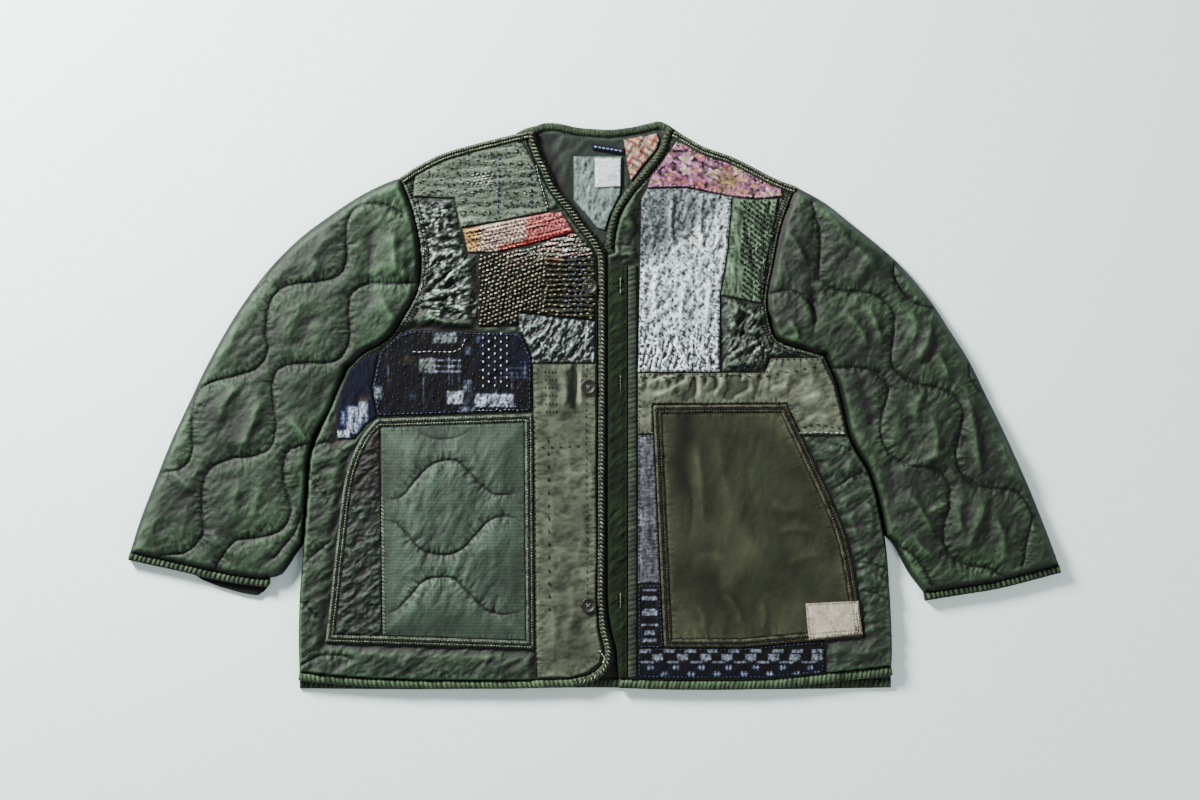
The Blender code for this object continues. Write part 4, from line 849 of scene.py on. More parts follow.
class JacketSizes(bpy.types.PropertyGroup):
    """Sizes that shape the cloth."""

    grid: measure("Cloth spacing", "Spacing of the points of fine cloth", 1.5, 6.0, 0.8)
    sleeve_puff: measure("Sleeve padding", "Rise of a sleeve's padding between its quilting", 6.5, 12.0)
    front_puff: measure("Front padding", "Rise of a front's padding between its quilting", 4.2, 8.0)
    pocket_puff: measure("Pocket padding", "Rise of the quilted pocket's padding", 5.4, 8.0)
    tuck: measure("Quilting tucks", "Depth of the tucks along the quilting", 2.3, 4.0)
    gather: measure("Binding gathers", "Spacing of the gathers of a cuff binding", 5.6, 20.0, 3.0)


def dye(name, words, rgb):
    """One colour setting, given in display values from 0 to 255."""
    return bpy.props.FloatVectorProperty(
        name=name, description=words, subtype="COLOR_GAMMA", size=3, min=0.0, max=1.0,
        default=tuple(c / 255 for c in rgb),
    )


class JacketColours(bpy.types.PropertyGroup):
    """Colours of the cloth and thread."""

    nylon: dye("Green nylon", "Faded quilted nylon of the right sleeve and fronts", (77, 97, 78))
    nylon_dark: dye("Dark nylon", "Deeper nylon of the left sleeve", (72, 90, 70))
    lining: dye("Lining", "Lining inside the back neck", (62, 84, 72))
    rib: dye("Binding", "Gathered edge bindings", (68, 80, 64))
    sage: dye("Sage cotton", "Patch at the right shoulder", (139, 149, 138))
    brown: dye("Brown cotton", "Darned patch of the right chest", (62, 64, 52))
    blue_green: dye("Blue-green nylon", "Crinkled patch under the darned one", (88, 102, 97))
    indigo: dye("Indigo cotton", "Dark blue patches", (13, 17, 34))
    khaki: dye("Khaki cotton", "Strip along the right edge and band over the left pocket", (131, 137, 124))
    silver: dye("Silver cloth", "Large patch of the left chest", (206, 216, 219))
    darned: dye("Darned green", "Stitched patch beside the left armhole", (134, 152, 134))
    olive: dye("Olive cotton", "Left pocket", (99, 104, 88))
    mauve: dye("Mauve cotton", "Strip beside the left pocket", (134, 136, 142))
    pocket: dye("Pocket nylon", "Quilted right pocket", (101, 117, 105))
    pale: dye("Pale thread", "Light sewing thread", (214, 216, 212))
    dark: dye("Dark thread", "Dark sewing thread", (24, 28, 24))
    blue: dye("Blue thread", "Blue darning thread", (70, 90, 150))


class JacketStage(bpy.types.PropertyGroup):
    """Light and camera."""

    height: bpy.props.FloatProperty(
        name="Camera height", description="Height of the camera over the floor", default=3.35, unit="LENGTH",
        subtype="DISTANCE",
    )
    key: bpy.props.FloatProperty(
        name="Main light", description="Power of the main light, in watts", default=300.0, min=0.0,
    )
    sky: bpy.props.FloatProperty(
        name="Room light", description="Strength of the even light from all round", default=0.42, min=0.0,
    )


def sizes():
    """The size settings."""
    return bpy.context.scene.jacket_sizes


def tone_of(name):
    """A colour setting in display values from 0 to 255."""
    return np.array(getattr(bpy.context.scene.jacket_colours, name)) * 255


def bumped_cloth(name, rough, weave, grain, sheen, gloss, slub):
    """Cloth material: the piece's own tone, mottled, over two bumps. weave is the coarseness and depth of
    crossed threads, grain the size in millimetres and depth of small crumples, slub the mottle's depth."""
    made = bpy.data.materials.new(name)
    made.use_nodes = True
    tree = made.node_tree
    nodes, link = tree.nodes, tree.links.new
    shader = nodes["Principled BSDF"]
    shader.inputs["Roughness"].default_value = rough
    shader.inputs["Specular IOR Level"].default_value = gloss
    shader.inputs["Sheen Weight"].default_value = sheen
    shader.inputs["Sheen Roughness"].default_value = 0.5
    tone = nodes.new("ShaderNodeAttribute")
    tone.attribute_name = "tone"
    place = nodes.new("ShaderNodeTexCoord")

    def texture(kind, scale, **values):
        node = nodes.new(kind)
        node.inputs["Scale"].default_value = scale
        for key, value in values.items():
            node.inputs[key].default_value = value
        link(place.outputs["Object"], node.inputs["Vector"])
        return node

    def maths(operation, first, second):
        node = nodes.new("ShaderNodeMath")
        node.operation = operation
        for socket, value in zip(node.inputs, (first, second)):
            if isinstance(value, float):
                socket.default_value = value
            else:
                link(value, socket)
        return node.outputs[0]

    fine = texture("ShaderNodeTexNoise", 1000 / grain[0], Detail=5.0, Roughness=0.62, Distortion=0.6)
    mottle = texture("ShaderNodeTexNoise", 260.0, Detail=6.0, Roughness=0.7)
    bands = []
    for direction in ("X", "Y"):
        band = texture("ShaderNodeTexWave", WEAVE_SCALE / weave[0], Distortion=0.6)
        band.bands_direction = direction
        band.wave_type = "BANDS"
        bands.append(band.outputs["Fac"])
    threads = maths("MAXIMUM", bands[0], bands[1])
    shade = maths("MULTIPLY_ADD", mottle.outputs["Fac"], slub * 2)
    shade.node.inputs[2].default_value = 1.0 - slub
    shade = maths("MULTIPLY", shade, maths("ADD", maths("MULTIPLY", threads, 0.10), 0.95))
    coloured = nodes.new("ShaderNodeVectorMath")
    coloured.operation = "SCALE"
    link(tone.outputs["Color"], coloured.inputs[0])
    link(shade, coloured.inputs["Scale"])
    link(coloured.outputs[0], shader.inputs["Base Color"])
    height = maths("ADD", maths("MULTIPLY", threads, weave[1]),
                   maths("MULTIPLY", fine.outputs["Fac"], grain[1]))
    bump = nodes.new("ShaderNodeBump")
    bump.inputs["Strength"].default_value = 1.0
    bump.inputs["Distance"].default_value = MM
    link(height, bump.inputs["Height"])
    link(bump.outputs[0], shader.inputs["Normal"])
    return made


# Scale of the wave texture at a coarseness of 1, where the threads lie 0.63 mm apart
WEAVE_SCALE = 500.0

# Each finish: name, roughness, weave's coarseness and depth, crumples' size and depth, sheen, gloss, mottle
FINISHES = {
    "nylon": ("ripstop nylon", 0.56, (1.6, 0.14), (4.0, 0.55), 0.0, 0.24, 0.1),
    "satin": ("crumpled nylon", 0.42, (1.2, 0.06), (3.4, 0.65), 0.0, 0.3, 0.1),
    "cotton": ("worn cotton", 0.88, (1.3, 0.25), (3.0, 0.7), 0.03, 0.14, 0.12),
    "rib": ("gathered binding", 0.75, (1.0, 0.15), (2.4, 0.6), 0.03, 0.2, 0.12),
    "silver": ("silver cloth", 0.5, (1.2, 0.10), (3.6, 0.8), 0.0, 0.4, 0.1),
    "thread": ("sewing thread", 0.7, (0.6, 0.1), (1.2, 0.1), 0.0, 0.25, 0.12),
    "horn": ("button horn", 0.55, (3.0, 0.0), (6.0, 0.15), 0.0, 0.35, 0.2),
}
PAINTS, TOPS, EDGES = {}, {}, {}


def paint(kind):
    """The shared materials, made when first asked for."""
    if kind not in PAINTS:
        PAINTS[kind] = bumped_cloth(*FINISHES[kind])
    return PAINTS[kind]


def place(piece, node, material_slot, flat=None, held="laid", under=None, area=None):
    """Put a finished piece on the body in place of its solid and hide the solid; its cut and what it rests on
    are not used.
    """
    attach(piece, "root")
    if node:
        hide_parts(node)


def cut_of(outline, sides=1):
    """Cut size of a flat piece: its own width and length about its long axis, and its area, in metres."""
    mid = outline - outline.mean(axis=0)
    _, axes = np.linalg.eigh(mid.T @ mid)
    spread = mid @ axes
    wide, long = (spread.max(axis=0) - spread.min(axis=0)) * MM
    wide = max(wide * sides, NARROWEST_CUT)
    area = area_of(outline) * sides * MM * MM
    return (wide, long), max(LEAST_FILLED * wide * long, min(area, wide * long))


def lay(name, outline, base, top, tint, kind, material_slot, under, step=None, wear_and_shade=1.0):
    """A flat piece of cloth in place of the solid of the same name."""
    # The last argument sets the painted shade in hollows and the painted highlight on crests
    piece = cloth(name + "_cloth", outline, base, top, tint, paint(kind), step or sizes().grid, wear_and_shade)
    TOPS[name] = top
    flat, area = cut_of(outline)
    place(piece, name, material_slot, flat, "laid", under, area)


def patch(name, under, tint, material_slot, relief, step=None, kind="cotton", wear_and_shade=1.0, base=PATCH_BASE,
          level=PATCH_TOP, **more):
    """A patch or label from its charted outline. relief holds its crumple, crease size, turn and seed."""
    outline = inset(edges()[name], SEAM)
    top = patch_top(outline, level, *relief, **more)
    # The last argument passed on sets the painted shade in hollows and the painted highlight on crests
    lay(name, outline, base, top, tint, kind, material_slot, under, step, wear_and_shade)


def bind(name, path, section, base, tint, material_slot, under, gather, seed, ring=False, square=3.2):
    """A binding or tape in place of its solid. The cut that shows is its width and most of its height."""
    path = spaced(np.vstack([path, path[:1]]), BINDING_STEP)[:-1] if ring else spaced(path, BINDING_STEP)
    piece = binding(name + "_cloth", path, section, base, gather, tint, paint("rib"), ring, seed, square)
    near_edge, far_edge, tall = section
    wide = abs(far_edge - near_edge)
    cut = max(wide + 0.85 * (tall - base), 10.0) * MM
    place(piece, name, material_slot, (cut, run_of(path) * MM), "folded", under)

    def top(points):
        share = np.clip((near(points, path, ring)[0] - abs(near_edge)) / wide, 0, 1)
        return base + (tall - base) * 0.97 * (1 - np.abs(2 * share - 1) ** square) ** 0.5

    TOPS[name] = top


def edges():
    """Every edge line and the outlines made of them, each made once."""
    e = EDGES
    if e:
        return e
    e.update({name: curve(chain) for name, chain in CHAINS.items()})
    e.update({name: closed(chain) for name, chain in SHAPES.items()})
    right, left = ([e[part + side] for part in ("shoulder", "armhole", "side", "hip")]
                   for side in ("_right", "_left"))
    e["back"] = closed(e["back_neck"], *left, e["back_hem"][::-1], *[chain[::-1] for chain in right[::-1]])
    for side, chains, corner in (("_right", right, ()), ("_left", left, (FRONT_CORNER,))):
        e["front" + side] = closed(*chains, e["hem" + side][::-1], e["edge" + side][::-1], *corner,
                                   e["neck" + side][::-1])
        e["sleeve" + side] = closed(e["outer" + side], e["cuff" + side],
                                    *[e[part + side][::-1] for part in ("inner", "side", "armhole")])
        e["pocket" + side] = closed(e["opening" + side], POCKETS[side])
    for name, side, sign, low, high, rest in (("patch_sage", "right", 1, -216, -86, SAGE),
                                              ("patch_floral", "left", -1, 98, 222, FLORAL_YOKE)):
        tape = beside(e["shoulder_" + side], 9.0 * sign)
        e[name] = closed(tape[(tape[:, 0] > low) & (tape[:, 0] < high)][::sign], rest)
    e["band"] = closed(beside(e["edge_left"], 0.8), BAND)
    return e


def sleeve_top(side, lines, folds, seed, crumpled):
    """Upper side of a sleeve: a low dome rounded down to its folded sides, padded between its quilting, with
    laid folds and small crumples."""
    e = edges()
    outline = e["sleeve_" + side]
    inner_side = np.vstack([e["side_" + side], e["inner_" + side]])

    def top(p):
        fold = np.minimum(near(p, e["outer_" + side])[0], near(p, inner_side)[0])
        rim = near(p, outline, True)[0]
        dome = 4.0 * (1 - np.exp(-rim / 28))
        puff = quilted(p, lines, sizes().sleeve_puff, 24, seed, sizes().tuck)
        crumple = 0.9 * layers(turned(p, 40), (22, 11), seed + 1, 3)
        crumple += 0.55 * creases(turned(p, 62), (22, 9), seed + 2, 3)
        inner = soft_step(rim, 0, 8)
        full = SLEEVE_TOP + dome + puff * (0.25 + 0.75 * inner)
        full += (folded(p, folds) + crumpled * crumple) * inner
        round_off = np.sqrt(1 - (1 - np.clip(fold / 13, 0, 1)) ** 2)
        return 3.0 + (full - 3.0) * (0.25 + 0.75 * round_off)

    return top


def slotted(piece, outline):
    """Open a sleeve's hollow with a prism between the slot's two levels, taken out for good. The new faces
    inside are painted dark: painted shade inside the hollow."""
    count = len(outline)
    verts = np.vstack([np.column_stack([outline, np.full(count, z)]) for z in SLEEVE_SLOT])
    i = np.arange(count)
    walls = np.column_stack([i, np.roll(i, -1), np.roll(i, -1) + count, i + count])
    faces = [walls, i[None, ::-1], i[None, :] + count]
    cutter = add_mesh("cutter", verts, faces, [False] * 3, np.full((2 * count, 3), 60.0), paint("nylon"))
    taken = piece.modifiers.new("slot", "BOOLEAN")
    taken.operation, taken.solver, taken.object = "DIFFERENCE", "EXACT", cutter
    graph = bpy.context.evaluated_depsgraph_get()
    cut = bpy.data.meshes.new_from_object(piece.evaluated_get(graph))
    piece.modifiers.clear()
    piece.data = cut
    tone = cut.color_attributes["tone"].data
    rgba = np.empty(4 * len(cut.vertices), np.float32)
    tone.foreach_get("color", rgba)
    rgba = rgba.reshape(-1, 4)
    # Painted shade: the faces inside the hollow set dark
    rgba[rgba[:, 0] > 0.99, :3] = DYE_DEPTH * linear(np.full(3, 45.0)) ** DYE_RANGE
    tone.foreach_set("color", rgba.ravel())
    bpy.data.objects.remove(cutter, do_unlink=True)


def slot_outline(side, sign):
    """Plan of a sleeve's hollow: within both folded sides, past the cuff and into the armhole seam."""
    e = edges()
    outer = beside(e["outer_" + side], 10 * sign)[3:]
    inner = beside(np.vstack([e["side_" + side][2:], e["inner_" + side][1:]]), -10 * sign)[::-1]
    cuff = beside(e["cuff_" + side], -40 * sign)[2:-3]
    armhole = beside(e["armhole_" + side], 3 * sign)[3:-4][::-1]
    return closed(outer, cuff, inner, armhole)


def front_top(outline, covers, lines, folds, gathers, seed):
    """Upper side of a front: level under what is sewn on it, padded and folded where it shows."""

    def top(p):
        clear = clear_of(p, covers)
        rim, run, _ = near(p, outline, True)
        bare, shown = soft_step(clear, 2, 14), soft_step(clear, 0.6, 4)
        puff = quilted(p, lines, sizes().front_puff, 20, seed, sizes().tuck) * bare
        crumple = 1.5 * layers(turned(p, 30), (30, 12), seed + 1, 3)
        crumple += 0.7 * creases(turned(p, 40), (20, 8), seed + 2, 2)
        crumple += 1.3 * np.exp(-rim / 9) * puckers(run, rim, 8, seed + 3)
        for x, y, wide, tall, degrees in gathers:
            spin = turned(p - (x, y), degrees)
            crumple += 3.2 * drawn(p, x, y, wide, tall) * creases(spin, (17, 6), seed + int(x), 2)
        rise = puff + np.maximum((folded(p, folds) + crumple) * shown, -2.0)
        return FRONT_TOP - 0.2 + rise * soft_step(rim, 0, 3) - 0.8 * np.exp(-rim / 1.5)

    return top


def drawn_up(p, rgb, gathers, seed, dark, bright):
    """Colour of gathered ground: painted shade, darker by the share dark, with painted highlights (glints)
    of the share bright on its creases.
    """
    ground, glints = np.zeros(len(p)), np.zeros(len(p))
    for x, y, wide, tall, degrees in gathers:
        pull = drawn(p, x, y, wide, tall)
        ground += pull
        glints += pull * soft_step(creases(turned(p - (x, y), degrees), (13, 4), seed + x, 2), 0.15, 0.6)
    ground, glints = (np.minimum(share, 1)[:, None] for share in (ground * dark, glints * bright))
    return mixed(rgb * (1 - ground), (196, 206, 202), glints)


def patch_top(outline, level, crumple, size, degrees, seed, edge=0.8, folds=(), more=None):
    """Upper side of a sewn-on patch: creases drawn out along one way, laid folds, puckers along its stitched
    edge, and a rolled rim."""

    def top(p):
        rim, run, _ = near(p, outline, True)
        spin = turned(p, degrees)
        height = crumple * (0.4 * creases(spin, size, seed, 2) + 0.9 * layers(spin, size, seed + 3, 3) + 0.2)
        height = height + edge * puckers(run, rim, 6.5, seed + 5) * np.exp(-rim / 6) + folded(p, folds)
        if more:
            height = height + more(p)
        height = np.maximum(height * (0.35 + 0.65 * soft_step(rim, 0, 4)), -0.7)
        return level + height - 0.5 * np.exp(-rim / 1.2)

    return top


class JACKET_OT_stage(bpy.types.Operator):
    """Floor, soft light from the upper left, room light and the camera straight above"""

    bl_idname = "jacket.stage"
    bl_label = "Stage"

    def execute(self, context):
        stage = context.scene.jacket_stage
        floor_mesh = bpy.data.meshes.new("floor")
        corners = ((-FLOOR_HALF, -FLOOR_HALF), (FLOOR_HALF, -FLOOR_HALF), (FLOOR_HALF, FLOOR_HALF),
                   (-FLOOR_HALF, FLOOR_HALF))
        floor_mesh.from_pydata([(x, y, FLOOR_LEVEL) for x, y in corners], [], [(0, 1, 2, 3)])
        floor = bpy.data.objects.new("floor", floor_mesh)
        context.scene.collection.objects.link(floor)
        ground = bpy.data.materials.new("pale floor")
        ground.use_nodes = True
        shader = ground.node_tree.nodes["Principled BSDF"]
        shader.inputs["Base Color"].default_value = (0.645, 0.79, 0.765, 1)
        shader.inputs["Roughness"].default_value = 0.9
        floor_mesh.materials.append(ground)

        world = bpy.data.worlds.new("room")
        world.use_nodes = True
        back = world.node_tree.nodes["Background"]
        back.inputs["Color"].default_value = (0.93, 0.97, 1.0, 1)
        back.inputs["Strength"].default_value = stage.sky
        context.scene.world = world
        for name, at, size, power in (("main light", (-1.55, 1.45, 1.15), 0.6, stage.key),
                                      ("fill light", (1.5, -0.9, 1.9), 1.6, stage.key * 0.12)):
            lamp = bpy.data.lights.new(name, "AREA")
            lamp.energy, lamp.size, lamp.color = power, size, (1.0, 0.985, 0.96)
            light = bpy.data.objects.new(name, lamp)
            light.location = at
            light.rotation_euler = (-Vector(at)).to_track_quat("-Z", "Y").to_euler()
            context.scene.collection.objects.link(light)
        seen = bpy.data.cameras.new("camera")
        seen.lens, seen.sensor_width = 85, 36
        camera = bpy.data.objects.new("camera", seen)
        camera.location = (*CAMERA_OVER, stage.height)
        context.scene.collection.objects.link(camera)
        context.scene.camera = camera
        return {"FINISHED"}


class JACKET_OT_back(bpy.types.Operator):
    """Back panel with its lining, its neck and hem bindings, and what is sewn inside the neck"""

    bl_idname = "jacket.back"
    bl_label = "Back and neck"

    def execute(self, context):
        e = edges()
        covers = [e[name] for name in ("front_right", "front_left", "neck_patch_denim", "neck_patch_petal",
                                       "hanger_loop", "neck_label")]

        def lining_top(p):
            shown = soft_step(clear_of(p, covers), 1, 8)
            return LINING_TOP + shown * np.maximum(1.6 * creases(turned(p, 65), (34, 14), 3, 3), -0.8)

        def lining_tint(p):
            # deep: painted shadow, the lining painted darker toward the left of the neck opening
            deep = 1 - soft_step(p[:, 0] + 0.35 * (p[:, 1] - 250), -46, -22)
            seam = bell(p[:, 1] - 271 - 0.1 * p[:, 0], 1.1) * soft_step(-p[:, 0], 22, 28)
            return dyed(tone_of("lining"), 0.16, 40, 5)(p) * ((1 - 0.8 * deep) * (1 - 0.6 * seam))[:, None]

        lay("back", inset(e["back"], SEAM), 0.0, lining_top, lining_tint, "nylon", "lining_green", None, 3.8)
        rib = dyed(tone_of("rib") * 1.04, 0.12, 30, 8)
        neck = np.vstack([(-88, 311), (-78, 316), e["back_neck"], (84, 320), (96, 311)])
        for name, path, section, gather, seed in (
            ("neck_binding_back", neck, (SEAM, EDGE_WIDE, 9.0), 3.4, 4),
            ("hem_binding_back", e["back_hem"], (-SEAM, -HEM_WIDE, 5.6), 5.6, 6),
        ):
            bind(name, path, section, 0.0, rib, "binding_green", "back_cloth", gather, seed)
        base = BACK_TOP + 0.4
        patch("neck_patch_denim", "back_cloth", dyed((158, 170, 166), 0.1, 22, 32, 0.1), "grey_denim",
              (0.7, (16, 7), 80, 31), 1.1, base=base, level=base + 1.2, edge=0.4)

        def label_tint(p):
            ruled = [(3, 284 - 5.2 * k, 28, 285 - 5.2 * k, (170, 172, 172), 0.3) for k in range(6)]
            return boxes_over(p, dyed((232, 236, 240), 0.03, 18, 33)(p), ruled, 0.4, 0.5, 34)

        patch("neck_label", "neck_patch_denim_cloth", label_tint, "label_white", (0.35, 20, 20, 35), 1.0,
              base=base + 1.6, level=base + 3.0, edge=0.3)

        def petal_tint(p):
            rgb = dyed((216, 206, 194), 0.08, 10, 36)(p)
            tones = ((208, 132, 118), (216, 178, 164), (150, 140, 130))
            for row, y in enumerate(np.arange(262, 318, 6.4)):
                for column, x in enumerate(np.arange(36 + 3.6 * (row % 2), 78, 7.2)):
                    away = turned(p - (x, y), 70 if (row + column) % 2 else -35)
                    oval = np.hypot(away[:, 0] / 4.4, away[:, 1] / 1.7)
                    rim = soft_step(oval, 0.8, 0.95) * (1 - soft_step(oval, 1.05, 1.3))
                    rgb = mixed(rgb, tones[(row + 2 * column) % 3], 1 - soft_step(oval, 0.75, 1.0))
                    rgb = mixed(rgb, (74, 60, 54), 0.5 * rim)
            return rgb

        patch("neck_patch_petal", "back_cloth", petal_tint, "petal_print", (0.6, 12, 30, 37), 0.9, base=base,
              level=base + 1.2, edge=0.4)
        loop = inset(e["hanger_loop"], SEAM)

        def loop_tint(p):
            x, y = p.T
            stripe = bell(y - (303.5 - (x + 3) * 0.158), 0.8) * soft_step(np.sin(x * 1.3), -0.6, 0.0)
            return mixed(dyed((38, 46, 92), 0.1, 8, 38)(p), (196, 200, 206), stripe)

        def loop_top(p):
            return base + 2.0 + 1.2 * soft_step(near(p, loop, True)[0], 0, 2.5) + 0.3 * creases(p, 5, 39, 1)

        lay("hanger_loop", loop, base, loop_top, loop_tint, "cotton", "loop_navy", "back_cloth", 0.7)
        return {"FINISHED"}


class JACKET_OT_fronts(bpy.types.Operator):
    """Quilted right and left fronts, level under their patches"""

    bl_idname = "jacket.fronts"
    bl_label = "Fronts"

    def execute(self, context):
        e = edges()
        green, dark = tone_of("nylon"), tone_of("nylon_dark") * 0.82
        for side, sign, names, lines, folds, gathers, seed, shade, size, (low, high, least, most), pull in (
            ("right", 1, ("sage", "madder", "darned_right", "crinkled", "indigo", "indigo_tail",
                          "khaki_strip"),
             QUILT_FRONT_RIGHT, FOLDS_FRONT_RIGHT, GATHERS_RIGHT, 41, 0.92, 60, (40, 80, 0.0, 0.2),
             (0.45, 0.65)),
            ("left", -1, ("floral", "silver", "darned_left", "khaki_band", "mauve", "kasuri_upright",
                          "kasuri_band"),
             QUILT_FRONT_LEFT, FOLDS_FRONT_LEFT, GATHERS_LEFT, 45, 0.94, 50, (20, 90, 0.35, 0.4),
             (0.3, 0.4)),
        ):
            shoulder = e["shoulder_" + side]
            tape = closed(beside(shoulder, 0.6 * sign), beside(shoulder, 8.8 * sign)[::-1])
            covers = [tape, e["pocket_" + side]] + [e["patch_" + name] for name in names]
            if side == "left":
                covers += [e["band"], e["under_rib"]]
            outline = inset(e["front_" + side], SEAM)

            def tint(p):
                deep = least + most * soft_step(p[:, 1], low, high)
                rgb = mixed(dyed(green * shade, 0.1, size, seed)(p), dyed(dark, 0.12, 40, seed + 1)(p), deep)
                # Painted shade and painted highlights over the gathered ground
                return drawn_up(p, rgb, gathers, seed + 3, *pull)

            top = front_top(outline, covers, lines, folds, gathers, seed + 2)
            lay("front_" + side, outline, FRONT_BASE, top, tint, "nylon", "nylon_green", "back_cloth", 1.85,
                1.4)
        return {"FINISHED"}


class JACKET_OT_sleeves(bpy.types.Operator):
    """Both quilted sleeves, each a flattened tube, with their cuff bindings"""

    bl_idname = "jacket.sleeves"
    bl_label = "Sleeves and cuffs"

    def execute(self, context):
        e = edges()
        for side, lines, folds, colour, node_slot, sign, crumpled in (
            ("right", QUILT_SLEEVE_RIGHT, FOLDS_SLEEVE_RIGHT, "nylon", "nylon_green", 1, 1.0),
            ("left", QUILT_SLEEVE_LEFT, FOLDS_SLEEVE_LEFT, "nylon_dark", "nylon_dark", -1, 1.2),
        ):
            name = "sleeve_" + side
            outline = inset(e[name], SEAM)
            slot = slot_outline(side, sign)
            top = sleeve_top(side, lines, folds, 50 + sign, crumpled)
            piece = cloth(name + "_cloth", outline, 0.0, top, dyed(tone_of(colour), 0.2, 70, 52 + sign),
                          paint("nylon"), sizes().grid * 1.08)
            slotted(piece, slot)
            flat, area = cut_of(outline, 2)
            place(piece, name, node_slot, flat, "folded", "floor", area)

            cuff, seed = e["cuff_" + side], 57 + sign
            far = beside(cuff, -CUFF_WIDE * sign)
            if side == "right":
                edge = closed(cuff, CUFF_UNDER, far[: len(far) // 2][::-1])
            else:
                edge = closed(cuff, far[::-1])

            def cuff_top(p):
                d, run, which = near(p, cuff)
                share = np.clip(d / CUFF_WIDE, 0, 1)
                raised = (1 - soft_step(d, 9.6, 10.8)) * (which != sign)
                body = np.maximum(np.sqrt(np.clip(1 - np.abs(2 * share - 1) ** 3, 0, 1)), 0.62)
                pull = pleats(run + 1.5 * share, sizes().gather, seed)
                return 4.4 + 0.3 * creases(p, 9, seed, 2) + raised * (1.6 + 6.6 * body * (0.86 + 0.12 * pull))

            def cuff_tint(p):
                d, run, which = near(p, cuff)
                # Painted highlight on the gathers' crests and painted shade in their grooves; beyond the
                # binding and on its folded-under side, painted shadow of the cuff's opening
                bright = 0.95 + 0.35 * pleats(run + 0.15 * d, sizes().gather, seed) + 0.2 * noise(p, 9, 58)
                bright = np.where((d > 10.2) | (which == sign), 0.3, bright)
                return dyed(tone_of("rib"), 0.14, 24, 59)(p) * bright[:, None]

            edge = inset(edge, 0.25)
            piece = cloth(f"cuff_{side}_cloth", edge, 0.0, cuff_top, cuff_tint, paint("rib"), 1.1)
            slotted(piece, slot)
            flat = (0.016, 2 * run_of(cuff) * MM)
            place(piece, "cuff_" + side, "binding_green", flat, "folded", name + "_cloth")
        return {"FINISHED"}


class JACKET_OT_bindings(bpy.types.Operator):
    """Gathered bindings of front edges, neck and hem, the shoulder tapes, the buttonhole band and its rib"""

    bl_idname = "jacket.bindings"
    bl_label = "Bindings and band"

    def execute(self, context):
        e = edges()
        whole = np.vstack([e["neck_right"][:-1], e["edge_right"][:-1], e["hem_right"]])
        rib, deep_rib, hem_rib = (dyed(tone_of("rib") * shade, 0.14, size, seed)
                                  for shade, size, seed in ((1, 34, 60), (0.72, 34, 62), (1.25, 30, 64)))
        pale = dyed((84, 96, 80), 0.12, 24, 66)

        def right_tint(p):
            return mixed(deep_rib(p), hem_rib(p), soft_step(-p[:, 1], 300, 320))

        rail = spaced(((39.4, 163), (39.4, -322)), 8)
        edge_rib = dyed((66, 76, 64), 0.14, 26, 70)
        for name, path, section, base, tint, under, gather, seed, square in (
            ("binding_right", whole, (SEAM, EDGE_WIDE, 14.2), FRONT_BASE, right_tint, "back", 5.5, 61, 3.2),
            ("neck_binding_left", e["neck_left"][:-1], (-SEAM, -EDGE_WIDE, 14.0), FRONT_BASE, rib, "back",
             5.0, 63, 3.2),
            ("hem_binding_left", e["hem_left"], (-SEAM, -HEM_WIDE, 13.6), FRONT_BASE, hem_rib, "back",
             5.2, 65, 3.2),
            ("shoulder_tape_right", e["shoulder_right"], (1.2, 8.2, 13.6), PATCH_BASE, pale, "front_right",
             4.0, 67, 9.0),
            ("shoulder_tape_left", e["shoulder_left"], (-1.2, -8.2, 13.6), PATCH_BASE, pale, "front_left",
             4.0, 69, 9.0),
            ("edge_rib_left", rail, (0.4, 10.0, 14.6), PATCH_BASE, edge_rib, "front_left", 5.8, 71, 3.2),
        ):
            under += "_cloth"
            bind(name, path, section, base, tint, "binding_green", under, gather, seed, square=square)

        def band_more(p):
            return -bell(p[:, 0] - 34.5, 1.3) - bell(p[:, 1] - 141, 1.5) - 0.8 * bell(p[:, 1] - 137, 1.2)

        outline = inset(e["band"], SEAM)
        top = patch_top(outline, PATCH_TOP, 1.3, (30, 9), 40, 72, edge=0.5, more=band_more)
        lay("buttonhole_band", outline, PATCH_BASE, top, dyed((62, 81, 54), 0.14, 36, 73), "cotton",
            "nylon_dark", "front_left_cloth")
        return {"FINISHED"}


